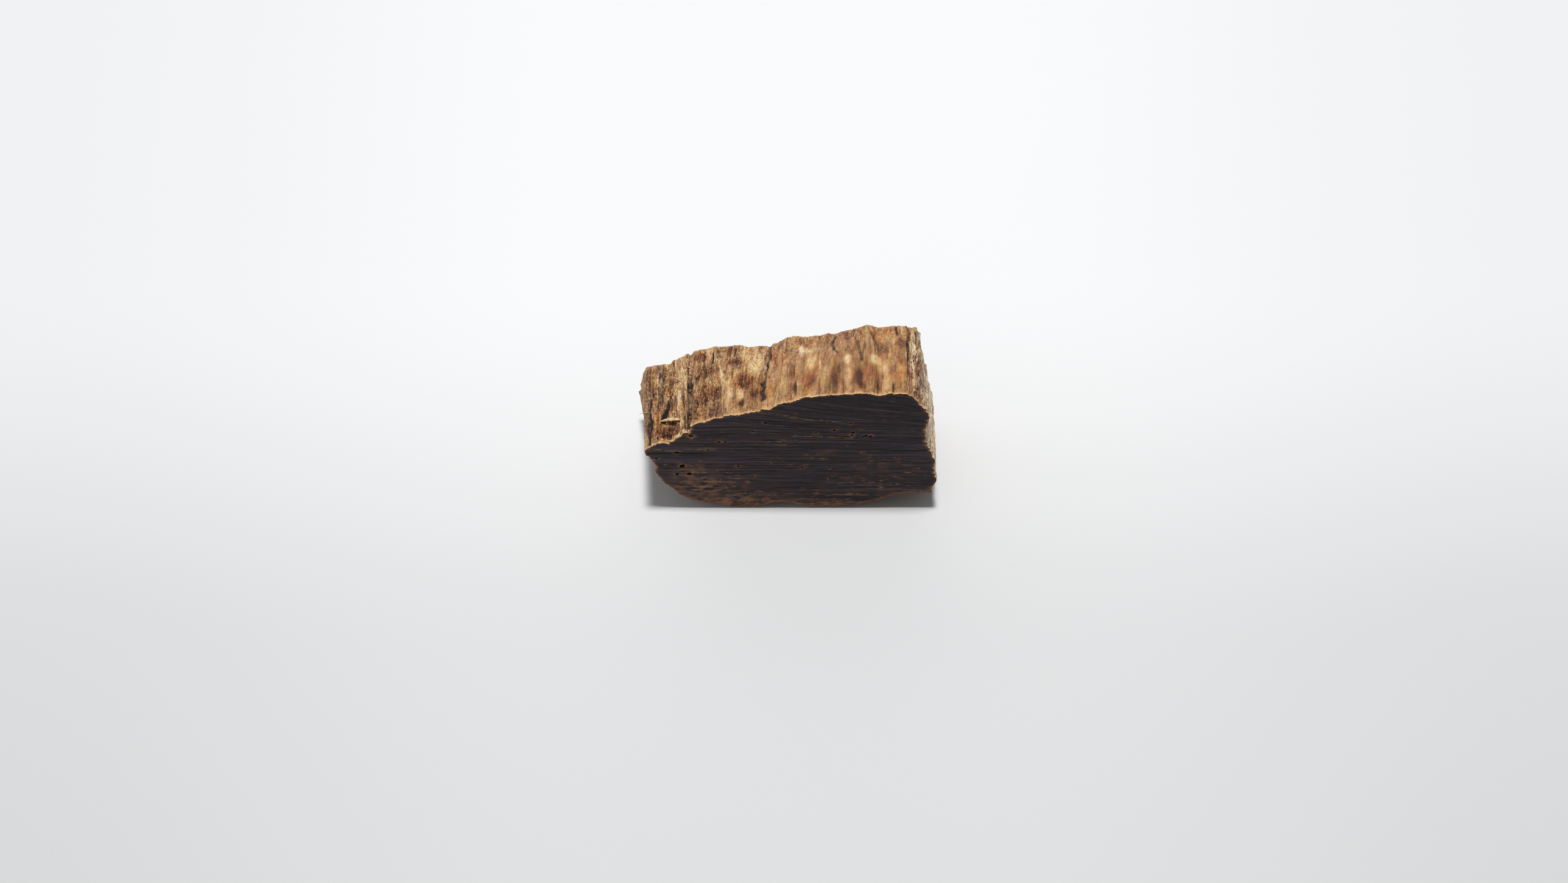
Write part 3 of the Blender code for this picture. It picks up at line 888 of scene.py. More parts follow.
def triangulate(outline, inner):
    """Triangles whose corners count the outline's points first and the inner points after them."""
    everything = np.concatenate([outline, inner])
    count = len(outline)
    edges = [(i, (i + 1) % count) for i in range(count)]
    made = delaunay_2d_cdt([Vector(p) for p in everything], edges, [], 0, MERGE_DISTANCE, True)
    triangles, origins = made[2], made[3]
    triangles = np.array([[origins[corner][0] for corner in triangle] for triangle in triangles])
    return triangles[inside(everything[triangles].mean(axis=1), outline)]


def growth_place(points):
    """Where sawn points (x, z) lie in the growth layers, so that level there means along a layer."""
    right, over = np.maximum(points - LINES_SINK_FROM, 0).T
    level = points[:, 1] + LINES_SINK * right * over**2
    return np.column_stack([points[:, 0], np.zeros(len(points)), level])


def face_masks(points, sunk, pores, tree):
    """The masks of a sawn face's points (x, z): layers, gold lines, rusty areas, edge, and the painted
    shade in the pores.
    """
    gold = np.zeros(len(points))
    for line in GOLD_LINES:
        gold = np.maximum(gold, np.exp(-((distance_to_line(points, line) / GOLD_HALF_WIDTH) ** 2)))
    rust = np.zeros(len(points))
    for (x, z), (half_x, half_z), strength in RUST_AREAS:
        away = ((points[:, 0] - x) / half_x) ** 2 + ((points[:, 1] - z) / half_z) ** 2
        rust = np.maximum(rust, strength * np.exp(-away))
    for x, z, radius in pores:
        beyond = np.maximum(np.hypot(points[:, 0] - x, points[:, 1] - z) - radius, 0)
        strength = min(1, radius / BROWN_PORE_RADIUS)
        rust = np.maximum(rust, strength * np.exp(-((beyond / PORE_RIM) ** 2)))
    edge_width = np.where(points[:, 1] < LOW_EDGE_TOP, LOW_EDGE_WIDTH, EDGE_WIDTH)
    edge = np.exp(-((distances(points, tree) / edge_width) ** 2))
    # painted shade: darker the deeper a point lies in a pore
    pore_shade = np.clip(sunk / PORE_SHADE_DEPTH, 0, 1)
    return {"sawn": growth_place(points), "gold": gold, "rust": rust, "edge": edge, "pore_shade": pore_shade}


def sawn_face(outline, far, rng):
    """A sawn face: its inner points (x, z), how deep each lies under the sawn plane, its triangles,
    and its masks. The triangles and the masks count the outline's points first."""
    tree = tree_of(outline)
    larger = random_pores(FAR_PORES, FAR_PORE_RADIUS, outline, rng) if far else NEAR_PORES
    small = random_pores(SMALL_PORES, SMALL_PORE_RADIUS, outline, rng)
    pores = clear_pores([*larger, *small], tree)
    lattice = face_lattice(outline, pores, tree, rng)
    rings, sunk = pore_points(pores, rng)
    inner = np.concatenate([lattice, rings])
    sunk = np.concatenate([np.zeros(len(lattice)), sunk])
    everything = np.concatenate([outline, inner])
    masks = face_masks(everything, np.concatenate([np.zeros(len(outline)), sunk]), pores, tree)
    return inner, sunk, triangulate(outline, inner), masks


# Meshes


def add_attribute(mesh, name, parts):
    """A number or a vector for each point, from parts of point numbers and values, and 0 elsewhere."""
    vector = parts[0][1].ndim == 2
    kind, field = ("FLOAT_VECTOR", "vector") if vector else ("FLOAT", "value")
    everywhere = np.zeros((len(mesh.vertices), 3 if vector else 1), np.float32)
    for numbers, values in parts:
        everywhere[numbers] = values.reshape(len(values), -1)
    mesh.attributes.new(name, kind, "POINT").data.foreach_set(field, everywhere.ravel())


def new_object(name, mesh):
    obj = bpy.data.objects.new(name, mesh)
    bpy.context.scene.collection.objects.link(obj)
    return obj


def face_outwards(mesh):
    """Turns every face outwards, and shades the mesh smooth."""
    bm = bmesh.new()
    bm.from_mesh(mesh)
    bmesh.ops.recalc_face_normals(bm, faces=bm.faces)
    bm.to_mesh(mesh)
    bm.free()
    mesh.shade_smooth()


def side_quads(rows, count):
    row, column = np.meshgrid(np.arange(rows - 1), np.arange(count), indexing="ij")
    here, beside = row * count + column, row * count + (column + 1) % count
    return np.stack([here, here + count, beside + count, beside], -1).reshape(-1, 4)


def make_chip(grid, masks, materials, rng):
    """One closed mesh: the split side and the two sawn faces with their pores."""
    rows, count = grid.shape[:2]
    total = rows * count
    points = [grid.reshape(-1, 3)]
    faces = side_quads(rows, count).tolist()
    kinds = [0] * len(faces)
    attributes = {
        name: [(np.arange(total), values.reshape(total, *values.shape[2:]))]
        for name, values in masks.items()
    }
    for row, inward in ((0, 1), (rows - 1, -1)):
        inner, sunk, triangles, found = sawn_face(grid[row][:, [0, 2]], row > 0, rng)
        numbers = np.concatenate([row * count + np.arange(count), total + np.arange(len(inner))])
        points.append(np.column_stack([inner[:, 0], grid[row, 0, 1] + inward * sunk, inner[:, 1]]))
        faces += numbers[triangles].tolist()
        kinds += [1] * len(triangles)
        for name, values in found.items():
            attributes.setdefault(name, []).append((numbers, values))
        total += len(inner)

    mesh = bpy.data.meshes.new("agarwood_wood")
    mesh.from_pydata(np.concatenate(points) * MM, [], faces)
    for material in materials:
        mesh.materials.append(material)
    mesh.polygons.foreach_set("material_index", kinds)
    for name, parts in attributes.items():
        add_attribute(mesh, name, parts)
    face_outwards(mesh)
    mesh.set_sharp_from_angle(angle=SHARP_ANGLE)
    return new_object("agarwood_wood", mesh)


class Strands:
    """Thin closed tubes and crumbs that are gathered into one mesh."""

    def __init__(self):
        self.points = []
        self.faces = []

    def tube(self, path, radii, sides, flatness=1.0):
        along = unit(np.gradient(path, axis=0))
        first = unit(np.cross(along, CROSSWAYS))
        second = np.cross(along, first) * flatness
        start = len(self.points)
        for point, radius, a, b in zip(path, radii, first, second):
            for turn in np.arange(sides) / sides * math.tau:
                self.points.append(point + radius * (a * math.cos(turn) + b * math.sin(turn)))
        for ring in range(len(path) - 1):
            for i in range(sides):
                here, beside = start + ring * sides + i, start + ring * sides + (i + 1) % sides
                self.faces.append((here, beside, beside + sides, here + sides))
        self.faces.append([start + i for i in reversed(range(sides))])
        self.faces.append([start + (len(path) - 1) * sides + i for i in range(sides)])

    def fibre(self, root, direction, length, radius, droop, rng):
        """A thin fibre that starts in the wood at the root, bends a little and droops."""
        direction = np.array(direction) / np.linalg.norm(direction)
        sideways = np.cross(direction, (0, 0, 1)) * rng.uniform(-FIBRE_BEND, FIBRE_BEND)
        shares = np.linspace(-FIBRE_ROOT, 1, FIBRE_RINGS)[:, None]
        path = root + length * (direction * shares + (sideways - (0, 0, droop)) * shares**2)
        self.tube(path, radius * np.linspace(1, FIBRE_TIP, FIBRE_RINGS), FIBRE_SIDES)

    def crumb(self, middle, radius, rng):
        """A lump that is sunk into the wood and lies wholly behind the near sawn face."""
        ball = bmesh.new()
        bmesh.ops.create_icosphere(ball, subdivisions=1, radius=1.0)
        sizes = radius * rng.uniform(*CRUMB_STRETCH, 3)
        behind_face = CRUMB_JITTER[1] * sizes[1] - THICKNESS / 2
        middle = (middle[0], max(middle[1], behind_face), middle[2] - CRUMB_SINK * sizes[2])
        start = len(self.points)
        for vert in ball.verts:
            self.points.append(middle + np.array(vert.co) * sizes * rng.uniform(*CRUMB_JITTER))
        self.faces += [[start + v.index for v in face.verts] for face in ball.faces]
        ball.free()

    def make(self, name, material):
        mesh = bpy.data.meshes.new(name)
        mesh.from_pydata(np.array(self.points) * MM, [], self.faces)
        mesh.materials.append(material)
        face_outwards(mesh)
        return new_object(name, mesh)


def columns_of(side_count):
    """How many columns of the fine mesh the first sides have together."""
    lines = sum(len(side[0]) for side in SIDES[:side_count])
    return points_per_gap()[:lines].sum() * ROUND_STEPS


def on_top(grid, x, depth):
    """The point of the top surface at this x and depth."""
    part = grid[:, :columns_of(1)]
    away = (part[:, :, 0] - x) ** 2 + (part[:, :, 1] + THICKNESS / 2 - depth) ** 2
    return part.reshape(-1, 3)[np.argmin(away)]


def on_right(grid, depth, height):
    """The point of the right side at this depth and height."""
    part = grid[:, columns_of(1):columns_of(2)]
    away = (part[:, :, 1] + THICKNESS / 2 - depth) ** 2 + (part[:, :, 2] - height) ** 2
    return part.reshape(-1, 3)[np.argmin(away)]


def add_fuzz(strands, grid, normals, crisp, rng):
    off_edge = np.abs(grid[:, :, 1]) < THICKNESS / 2 - FUZZ_MARGIN
    rough = np.flatnonzero((crisp > FUZZ_CRISP) & (grid[:, :, 2] > FUZZ_FLOOR) & off_edge)
    for spot in rng.choice(rough, FUZZ_COUNT, replace=False):
        root, normal = grid.reshape(-1, 3)[spot], normals.reshape(-1, 3)[spot]
        rise, turn = rng.uniform(*FUZZ_RISE), rng.uniform(-FUZZ_TURN, FUZZ_TURN)
        direction = normal * rise + (turn, rng.choice((-1, 1)), 0)
        length, radius = rng.uniform(*FUZZ_LENGTH), rng.uniform(*FUZZ_RADIUS)
        if abs(root[1]) > THICKNESS / 2 - length:
            direction[1] = -math.copysign(direction[1], root[1])
        strands.fibre(root, direction, length, radius, FUZZ_DROOP, rng)


def make_fibres(grid, normals, crisp, material, rng):
    """Loose fibres, hairs, fuzz and crumbs, all rooted in the split surface."""
    strands = Strands()
    for (x, depth), heading, length, rise, radius in TOP_FIBRES:
        rise, turn = math.radians(rise), math.radians(heading)
        flat = math.cos(rise)
        direction = (flat * math.cos(turn), flat * math.sin(turn), math.sin(rise))
        strands.fibre(on_top(grid, x, depth), direction, length, radius, FIBRE_DROOP, rng)
    for (depth, height), length, lean, radius in SIDE_HAIRS:
        direction = (math.sin(math.radians(lean)), *HAIR_DIRECTION)
        strands.fibre(on_right(grid, depth, height), direction, length, radius, HAIR_DROOP, rng)
    add_fuzz(strands, grid, normals, crisp, rng)
    for _ in range(CRUMB_COUNT):
        spot = on_top(grid, rng.uniform(*CRUMB_AREA[0]), rng.uniform(*CRUMB_AREA[1]))
        strands.crumb(spot, rng.uniform(*CRUMB_RADIUS), rng)
    return strands.make("loose_fibres", material)


def make_splinter(grid, material, rng):
    """The thick splinter that bridges the torn pit near the left corner, and a thin strip on it."""
    start, end = (on_top(grid, x, depth) + (0, 0, lift) for x, depth, lift in SPLINTER_ENDS)
    shares = np.linspace(0, 1, SPLINTER_POINTS)
    arch = np.sin(shares * math.pi)
    path = start + (end - start) * shares[:, None]
    path[:, 2] += SPLINTER_ARCH * arch
    path += rng.uniform(-SPLINTER_WOBBLE, SPLINTER_WOBBLE, path.shape)
    radii = SPLINTER_RADIUS * (SPLINTER_TIP + (1 - SPLINTER_TIP) * arch)
    radii *= rng.uniform(*SPLINTER_UNEVEN, SPLINTER_POINTS)
    splinter = Strands()
    splinter.tube(path, radii, SPLINTER_SIDES, SPLINTER_FLATNESS)
    strip = path[STRIP_START:] + STRIP_OFFSET
    splinter.tube(strip, STRIP_RADIUS * radii[STRIP_START:], STRIP_SIDES)
    return splinter.make("bridging_splinter", material)


# Materials


class Nodes:
    """Short calls that add nodes to a node tree and link them."""

    def __init__(self, tree):
        self.tree = tree

    def link(self, value, socket):
        if isinstance(value, bpy.types.NodeSocket):
            self.tree.links.new(value, socket)
        else:
            socket.default_value = (*value, 1) if socket.type == "RGBA" else value

    def add(self, kind, output, inputs, **settings):
        """Adds a node with these settings and inputs. Returns one of its outputs."""
        node = self.tree.nodes.new("ShaderNode" + kind)
        for name, value in settings.items():
            setattr(node, name, value)
        for name, value in inputs.items():
            self.link(value, node.inputs[name])
        return node.outputs[output]

    def coordinates(self, output):
        return self.add("TexCoord", output, {})

    def axis(self, name, vector):
        return self.add("SeparateXYZ", name, {0: vector})

    def math(self, operation, a, b=0.0, clamp=False):
        return self.add("Math", 0, {0: a, 1: b}, operation=operation, use_clamp=clamp)

    def times(self, a, b):
        return self.math("MULTIPLY", a, b)

    def add_all(self, parts):
        total = parts[0]
        for part in parts[1:]:
            total = self.math("ADD", total, part)
        return total

    def off_middle(self, noise):
        """How far a noise is from its middle value."""
        return self.math("ABSOLUTE", self.math("SUBTRACT", noise, 0.5))

    def spread(self, value, between, onto=(0.0, 1.0), kind="LINEAR"):
        """Maps values between these two onto those two, and holds them there outside."""
        names = ("Value", "From Min", "From Max", "To Min", "To Max")
        inputs = dict(zip(names, (value, *between, *onto)))
        return self.add("MapRange", "Result", inputs, interpolation_type=kind)


class Surface(Nodes):
    """The nodes of a new material."""

    def __init__(self, name):
        self.material = bpy.data.materials.new(name)
        self.material.use_nodes = True
        super().__init__(self.material.node_tree)
        self.shader = self.tree.nodes["Principled BSDF"]

    def attribute(self, name, output="Fac"):
        return self.add("Attribute", output, {}, attribute_name=name)

    def vector_math(self, operation, a, b):
        return self.add("VectorMath", 0, {0: a, 1: b}, operation=operation)

    def noise(self, vector, stretch, detail, roughness, output="Fac"):
        """Noise from 0 to 1. Stretch is how many cells there are in a unit along each axis."""
        place = self.add("Mapping", 0, {"Vector": vector, "Scale": stretch}, vector_type="POINT")
        inputs = {"Vector": place, "Scale": 1.0, "Detail": detail, "Roughness": roughness}
        return self.add("TexNoise", output, inputs)

    def warp(self, vector, noise, reach):
        """The vector moved about by noise, by up to half of this reach along each axis."""
        drift = self.noise(vector, *noise, "Color")
        drift = self.vector_math("SUBTRACT", drift, (0.5, 0.5, 0.5))
        return self.vector_math("ADD", vector, self.vector_math("MULTIPLY", drift, reach))

    def ramp(self, value, stops):
        output = self.add("ValToRGB", "Color", {"Fac": value})
        elements = output.node.color_ramp.elements
        while len(elements) < len(stops):
            elements.new(0.5)
        for element, (place, colour) in zip(elements, stops):
            element.position = place
            element.color = (*colour, 1)
        return output

    def mix(self, share, a, b):
        return self.add("Mix", 2, {0: share, 6: a, 7: b}, data_type="RGBA")

    def tint(self, colour, hue, saturation):
        inputs = {"Color": colour, "Hue": hue, "Saturation": saturation}
        return self.add("HueSaturation", "Color", inputs)

    def bump(self, height, distance):
        normal = self.add("Bump", 0, {"Height": height, "Distance": distance * MM})
        self.link(normal, self.shader.inputs["Normal"])

    def finish(self, colour, roughness, specular):
        self.link(colour, self.shader.inputs["Base Color"])
        self.link(roughness, self.shader.inputs["Roughness"])
        self.shader.inputs["Specular IOR Level"].default_value = specular
        return self.material


MOST = (0.35, 0.65)  # nearly all values of a noise lie between these

# Noises of the split wood: cells in a millimetre along X, Y and Z, detail and roughness.
WAVES = ((1.3, 0.7, 1.3), 2.0, 0.5)
WAVES_REACH = (0.14, 0.3, 0.14)
CLOUDS = ((1.7, 0.8, 1.7), 3.0, 0.55)
STREAKS = ((3.2, 0.60, 3.2), 3.0, 0.6)
BUNDLES = ((5.0, 0.80, 5.0), 2.0, 0.55)
FINE_FIBRES = ((9.0, 2.6, 9.0), 3.0, 0.65)
GRAINS = ((7.5, 4.5, 7.5), 3.0, 0.65)
STRIPES = ((9.0, 0.45, 9.0), 2.0, 0.6)
AMBER_CLOUDS = ((2.6, 1.2, 2.6), 3.0, 0.6)
HUE_CLOUDS = ((2.1, 0.9, 2.1), 3.0, 0.6)
FLECKS = ((6.5, 2.2, 6.5), 3.0, 0.6)
VEINS = ((2.6, 0.15, 2.6), 2.0, 0.55)
# painted glints: tiny highlights painted into the split wood's colour
PAINTED_GLINTS = ((12.0, 9.0, 12.0), 1.0, 0.5)

TAN_STOPS = (
    (0.00, (0.022, 0.013, 0.012)),
    (0.18, (0.085, 0.043, 0.026)),
    (0.38, (0.245, 0.130, 0.060)),
    (0.58, (0.460, 0.262, 0.115)),
    (0.80, (0.700, 0.465, 0.230)),
    (1.00, (0.860, 0.690, 0.440)),
)
AMBER_STOPS = (
    (0.00, (0.028, 0.009, 0.005)),
    (0.22, (0.150, 0.050, 0.018)),
    (0.46, (0.400, 0.165, 0.050)),
    (0.72, (0.620, 0.340, 0.120)),
    (1.00, (0.820, 0.570, 0.260)),
)
FLECK_COLOUR = (0.060, 0.026, 0.020)
# the grooves' dark stain: partly dark wood, partly painted shade in the grooves
STAIN_AND_SHADE_COLOUR = (0.018, 0.013, 0.013)
# pale wood of the sawn edges, with a painted highlight where the edge catches the light
RIM_AND_HIGHLIGHT_COLOUR = (0.770, 0.490, 0.225)
# colour of the painted glints, small highlights painted into the wood
PAINTED_GLINT_COLOUR = (0.92, 0.88, 0.80)
# painted shade of the relief: darker in hollows, paler on ridges
HOLLOW_SHADE_TONE = -0.06
PATCH_TONE = 0.58  # how much the patches of colour count


def fibre_colours(m, wood, wavy, relief):
    """Tan to amber fibres, from dark to pale."""
    stripes = m.spread(m.noise(wood, *STRIPES), (0.40, 0.60), (-0.24, 0.20))
    tone = m.add_all([
        m.spread(m.noise(wavy, *CLOUDS), MOST, (0.46, 0.68)),
        m.spread(m.noise(wavy, *STREAKS), (0.40, 0.60), (-0.06, 0.06)),
        # the bump's height also sets the tone: painted shade where it is low, paler where it is high
        relief,
        m.times(m.attribute("side"), stripes),
        m.times(m.attribute("tone"), PATCH_TONE),
        # painted shade in the hollows of the relief
        m.times(m.attribute("hollow_shade"), HOLLOW_SHADE_TONE),
    ])
    tone = m.math("ADD", tone, 0.0, clamp=True)
    more_amber = m.spread(m.noise(wavy, *AMBER_CLOUDS), MOST, (-0.45, 0.55))
    amber = m.math("ADD", m.attribute("amber"), more_amber, clamp=True)
    colour = m.mix(amber, m.ramp(tone, TAN_STOPS), m.ramp(tone, AMBER_STOPS))
    hue = m.spread(m.noise(wood, *HUE_CLOUDS), MOST, (0.486, 0.508))
    return m.tint(colour, hue, m.spread(m.attribute("amber"), (-1.0, 0.0), (0.45, 1.0)))


def with_flecks(m, colour, wavy, crisp):
    """The colour with dark flecks and thin dark veins where the wood is sharply drawn."""
    flecks = m.spread(m.noise(wavy, *FLECKS), (0.60, 0.66))
    flecks = m.math("MULTIPLY", flecks, m.times(crisp, 0.40), clamp=True)
    colour = m.mix(flecks, colour, FLECK_COLOUR)
    veins = m.spread(m.off_middle(m.noise(wavy, *VEINS)), (0.003, 0.012), (0.42, 0.0))
    return m.mix(m.math("MULTIPLY", veins, crisp, clamp=True), colour, FLECK_COLOUR)


def with_stains_and_shade(m, colour, grains):
    """The colour with the ragged dark stains of the grooves, partly dark wood and partly painted shade.
    """
    ragged = m.math("ADD", m.attribute("stain_and_shade"), m.spread(grains, MOST, (-0.25, 0.20)))
    strength = m.spread(m.attribute("stain_and_shade"), (0.0, 0.6))
    return m.mix(m.times(m.spread(ragged, (0.05, 0.60)), strength), colour, STAIN_AND_SHADE_COLOUR)


def split_wood():
    m = Surface("split_wood")
    wood = m.attribute("wood", "Vector")
    crisp = m.attribute("crisp")
    wavy = m.warp(wood, WAVES, WAVES_REACH)
    fine = m.noise(wavy, *FINE_FIBRES)
    grains = m.noise(wood, *GRAINS)
    relief = m.times(m.add_all([
        m.spread(m.noise(wavy, *BUNDLES), (0.42, 0.58), (-0.07, 0.07)),
        m.spread(fine, MOST, (-0.12, 0.12)),
        m.spread(grains, MOST, (-0.15, 0.15)),
    ]), crisp)
    colour = with_flecks(m, fibre_colours(m, wood, wavy, relief), wavy, crisp)
    # the pale rim along the sawn edges: pale wood, with a painted highlight where the edge catches the
    # light
    rim_and_highlight = m.times(m.attribute("rim_and_highlight"), m.spread(fine, (0.30, 0.60), (0.50, 1.0)))
    colour = with_stains_and_shade(m, m.mix(rim_and_highlight, colour, RIM_AND_HIGHLIGHT_COLOUR), grains)
    # Painted highlights: tiny pale glints in the colour, only where the wood is sharply drawn.
    painted_glints = m.spread(m.noise(wood, *PAINTED_GLINTS), (0.74, 0.77), (0.0, 0.95))
    colour = m.mix(m.times(painted_glints, m.spread(crisp, (0.55, 1.05))), colour, PAINTED_GLINT_COLOUR)
    m.bump(relief, distance=0.09)
    return m.finish(colour, roughness=m.spread(fine, MOST, (0.48, 0.75)), specular=0.30)


# Noises of the sawn wood, in the same form.
DRIFTS = ((0.35, 1.0, 0.35), 2.0, 0.5)
DRIFTS_REACH = (0.5, 0.0, 0.22)
BANDS = ((0.07, 1.0, 0.9), 3.0, 0.55)
LINES = ((0.08, 1.0, 3.4), 3.0, 0.6)
SCRATCHES = ((0.30, 1.0, 14.0), 3.0, 0.65)
BROWN_STREAKS = ((0.5, 1.0, 1.6), 3.0, 0.6)
MOTTLE = ((1.3, 1.0, 2.1), 3.0, 0.62)
RUSTY_SPOTS = ((1.3, 1.0, 4.2), 2.0, 0.55)
LONG_CUTS = ((0.045, 1.0, 1.9), 2.0, 0.5)
UNEVEN_CUTS = ((0.5, 1.0, 3.0), 3.0, 0.6)
FINE_CUTS = ((0.07, 1.0, 4.4), 3.0, 0.5)
GOLD_BREAKS = ((1.8, 1.0, 5.0), 3.0, 0.5)
EDGE_BREAKS = ((3.5, 1.0, 3.5), 3.0, 0.6)

FACE_STOPS = (
    (0.00, (0.0042, 0.0026, 0.0044)),
    (0.50, (0.0175, 0.0098, 0.0188)),
    (1.00, (0.0480, 0.0306, 0.0515)),
)
RUST_COLOUR = (0.285, 0.135, 0.060)
GOLD_COLOUR = (0.300, 0.190, 0.080)
EDGE_COLOUR = (0.250, 0.098, 0.040)
CUT_COLOUR = (0.0030, 0.0018, 0.0022)
# painted shade inside the pores
PORE_SHADE_COLOUR = (0.002, 0.002, 0.002)


def rust_share(m, sawn, layers):
    """How rusty the sawn wood is: in its mottled rusty areas, and in small spots near them."""
    mottled = m.times(m.attribute("rust"), m.spread(m.noise(sawn, *MOTTLE), (0.41, 0.59)))
    spots = m.spread(m.noise(layers, *RUSTY_SPOTS), (0.585, 0.65), (0.0, 0.85))
    spots = m.times(spots, m.spread(m.attribute("rust"), (0.03, 0.15)))
    return m.math("MAXIMUM", mottled, spots)


def cut_shares(m, layers, rusty):
    """How strong the long dark cuts, the rusty fringe beside them and the fine cuts are."""
    clear = m.spread(rusty, (0.0, 0.6), (1.0, 0.25))
    off_cut = m.off_middle(m.noise(layers, *LONG_CUTS))
    uneven = m.spread(m.noise(layers, *UNEVEN_CUTS), (0.35, 0.60))
    fringe = m.times(m.spread(off_cut, (0.050, 0.090), (0.12, 0.0)), uneven)
    long_cuts = m.times(m.spread(off_cut, (0.018, 0.050), (0.95, 0.0)), uneven)
    fine_cuts = m.spread(m.noise(layers, *FINE_CUTS), (0.39, 0.45), (0.90, 0.0))
    return m.times(long_cuts, clear), fringe, m.times(fine_cuts, clear)


def sawn_wood():
    m = Surface("sawn_wood")
    sawn = m.attribute("sawn", "Vector")
    layers = m.warp(sawn, DRIFTS, DRIFTS_REACH)
    scratches = m.noise(layers, *SCRATCHES)
    tone = m.add_all([
        m.spread(m.noise(layers, *BANDS), MOST, (0.00, 0.28)),
        m.spread(m.noise(layers, *LINES), (0.42, 0.58), (0.00, 0.60)),
        m.spread(scratches, (0.38, 0.62), (0.00, 0.24)),
    ])
    brown = m.spread(m.noise(layers, *BROWN_STREAKS), (0.50, 0.75), (0.0, 0.20))
    rusty = rust_share(m, sawn, layers)
    long_cuts, fringe, fine_cuts = cut_shares(m, layers, rusty)
    gold = m.spread(m.noise(layers, *GOLD_BREAKS), (0.40, 0.54), (0.10, 0.75))
    edge = m.spread(m.noise(sawn, *EDGE_BREAKS), (0.35, 0.60), (0.35, 1.0))
    colour = m.ramp(tone, FACE_STOPS)
    layers_over = (
        (brown, RUST_COLOUR),
        (rusty, RUST_COLOUR),
        (fringe, RUST_COLOUR),
        (long_cuts, CUT_COLOUR),
        (fine_cuts, CUT_COLOUR),
        (m.times(m.attribute("gold"), gold), GOLD_COLOUR),
        (m.times(m.attribute("edge"), edge), EDGE_COLOUR),
        # painted shade inside the pores, by depth
        (m.attribute("pore_shade"), PORE_SHADE_COLOUR),
    )
    for share, over in layers_over:
        colour = m.mix(share, colour, over)
    m.bump(m.math("SUBTRACT", tone, long_cuts), distance=0.04)
    return m.finish(colour, roughness=m.spread(scratches, MOST, (0.40, 0.62)), specular=0.10)


# Loose fibres have no masks, so their noise has its cells in a metre of the object itself.
FIBRE_GRAIN = ((6000.0, 2500.0, 6000.0), 3.0, 0.6)
FIBRE_STOPS = (
    (0.0, (0.480, 0.250, 0.095)),
    (0.5, (0.720, 0.470, 0.215)),
    (1.0, (0.860, 0.680, 0.420)),
)


def fibre_wood():
    m = Surface("fibre_wood")
    tone = m.spread(m.noise(m.coordinates("Object"), *FIBRE_GRAIN), MOST)
    m.bump(tone, distance=0.02)
    return m.finish(m.ramp(tone, FIBRE_STOPS), roughness=0.55, specular=0.4)


# The studio

# The floor: its painted shade, where the light falls off from one place to another, in metres from the
# chip's middle.
FLOOR_SIZE = 8.0
FLOOR_COLOUR = (0.908, 0.912, 0.916)
FLOOR_SHADE_STEP = ((-0.015, 0.015), (0.83, 1.0))  # painted shade along Y, round the chip
FLOOR_SHADE_SLOPE = ((-0.040, -0.005), (0.93, 1.0))  # painted shade along Y, in front of the chip
FLOOR_SHADE_SIDES = ((0.012, 0.055), (1.0, 0.92))  # painted shade along X, to each side

SKY_COLOUR = (0.97, 0.985, 1.0)
SKY_STRENGTH = (0.03, 0.50)  # from the front right to the back left

# The overhead light is a row of suns that tilt sideways, so that its shadows are softest at the sides.
KEY_TILTS = (-1.8, 0.0, 1.8)
KEY_STRENGTH = 2.5
KEY_ANGLE = math.radians(5)


def make_floor():
    """A pale floor with painted shade: a little darker towards the front and the sides, where the light
    falls off.
    """
    bpy.ops.mesh.primitive_plane_add(size=FLOOR_SIZE)
    floor = bpy.context.object
    floor.name = "floor"
    m = Surface("pale_floor_painted_falloff")
    x, y = (m.axis(name, m.coordinates("Object")) for name in "XY")
    along = m.times(m.spread(y, *FLOOR_SHADE_STEP, "SMOOTHSTEP"), m.spread(y, *FLOOR_SHADE_SLOPE))
    share = m.times(along, m.spread(m.math("ABSOLUTE", x), *FLOOR_SHADE_SIDES, "SMOOTHSTEP"))
    # the floor's colour carries the painted shade
    colour = m.mix(share, (0.0, 0.0, 0.0), FLOOR_COLOUR)
    floor.data.materials.append(m.finish(colour, roughness=0.9, specular=0.1))


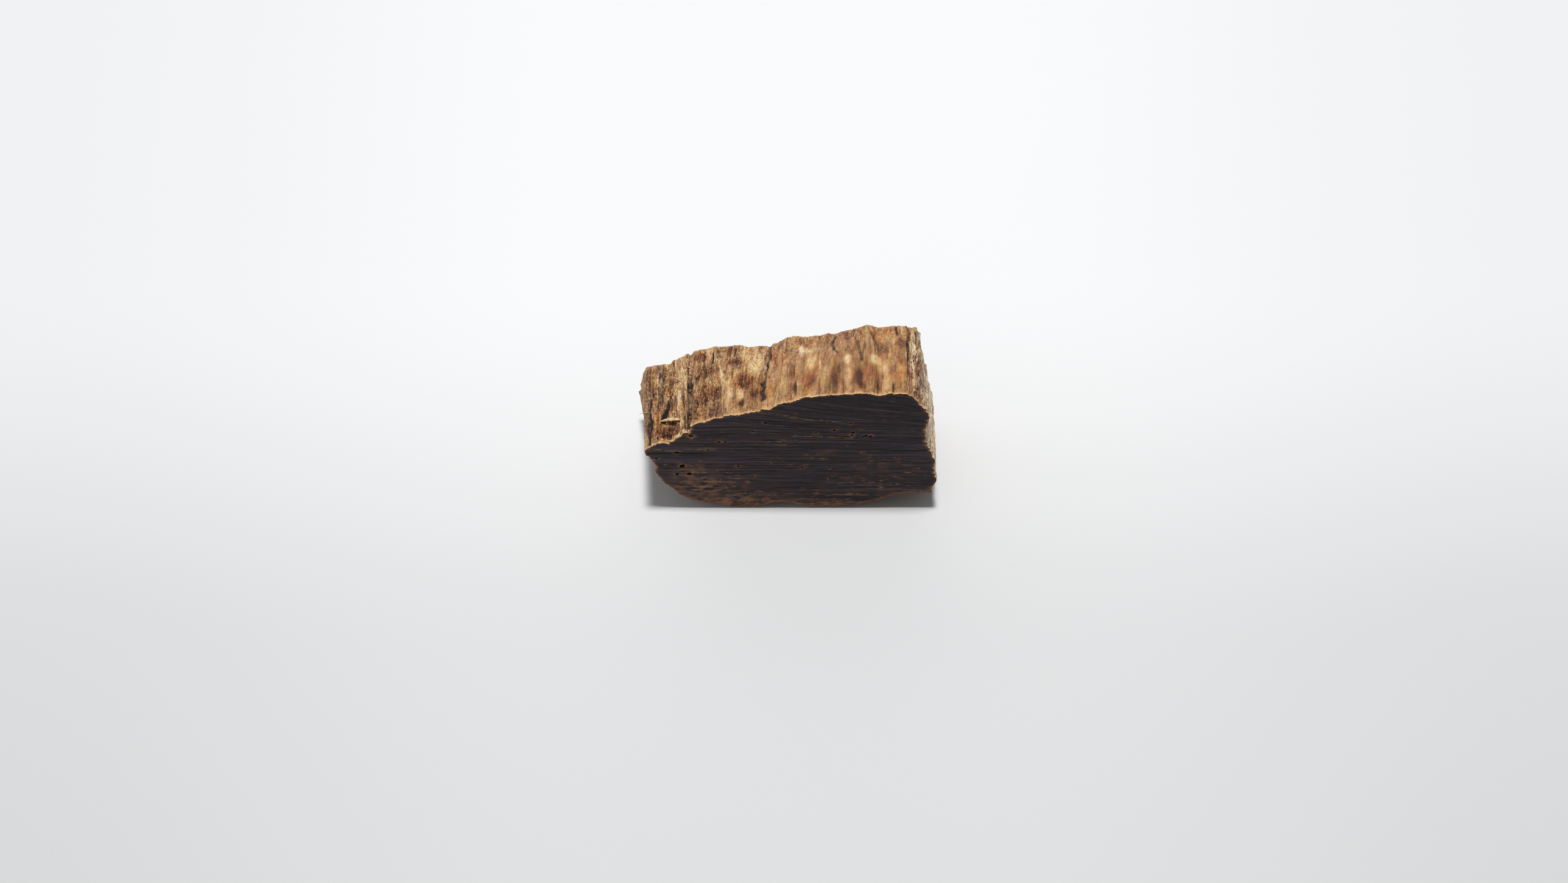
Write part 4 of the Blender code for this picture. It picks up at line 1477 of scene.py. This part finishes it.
def make_sky():
    world = bpy.data.worlds.new("studio")
    world.use_nodes = True
    n = Nodes(world.node_tree)
    x, y = (n.axis(name, n.coordinates("Generated")) for name in "XY")
    behind_left = n.math("SUBTRACT", y, x)
    background = n.tree.nodes["Background"]
    n.link(SKY_COLOUR, background.inputs["Color"])
    n.link(n.spread(behind_left, (-1.0, 1.0), SKY_STRENGTH), background.inputs["Strength"])
    bpy.context.scene.world = world


def make_key_light():
    for tilt in KEY_TILTS:
        key = bpy.data.lights.new("overhead_key", "SUN")
        key.energy = KEY_STRENGTH / len(KEY_TILTS)
        key.angle = KEY_ANGLE
        new_object("overhead_key", key).rotation_euler = (0, math.radians(tilt), 0)


def make_camera():
    """A camera that sees the near face's foot line where the photograph has it."""
    camera = bpy.data.cameras.new("camera")
    camera.sensor_width = SENSOR_WIDTH
    camera.lens = SENSOR_WIDTH * CAMERA_DISTANCE / (PIXEL * PHOTO_WIDTH_PX)
    rig = new_object("camera", camera)
    bpy.context.scene.camera = rig
    forward = np.array((0, math.cos(CAMERA_ELEVATION), -math.sin(CAMERA_ELEVATION)))
    up = np.array((0, math.sin(CAMERA_ELEVATION), math.cos(CAMERA_ELEVATION)))
    right_of_middle = (FOOT_PX[0] - PHOTO_WIDTH_PX / 2) * PIXEL
    below_middle = (FOOT_PX[1] - PHOTO_HEIGHT_PX / 2) * PIXEL
    foot = np.array((0, -THICKNESS / 2, 0))
    aim = foot - np.array((right_of_middle, 0, 0)) + up * below_middle
    rig.location = (aim - forward * CAMERA_DISTANCE) * MM
    rig.rotation_euler = (math.pi / 2 - CAMERA_ELEVATION, 0, 0)


rng = np.random.default_rng(LOOK_SEED)
make_camera()
grid, normals, masks = split_surface(rng)
chip = make_chip(grid, masks, (split_wood(), sawn_wood()), rng)
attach(chip, "root")
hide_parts(NODE)
fibre_material = fibre_wood()
for piece in (make_fibres(grid, normals, masks["crisp"], fibre_material, rng),
              make_splinter(grid, fibre_material, rng)):
    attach(piece, "root")
make_floor()
make_sky()
make_key_light()
bpy.context.scene.view_settings.view_transform = "Standard"
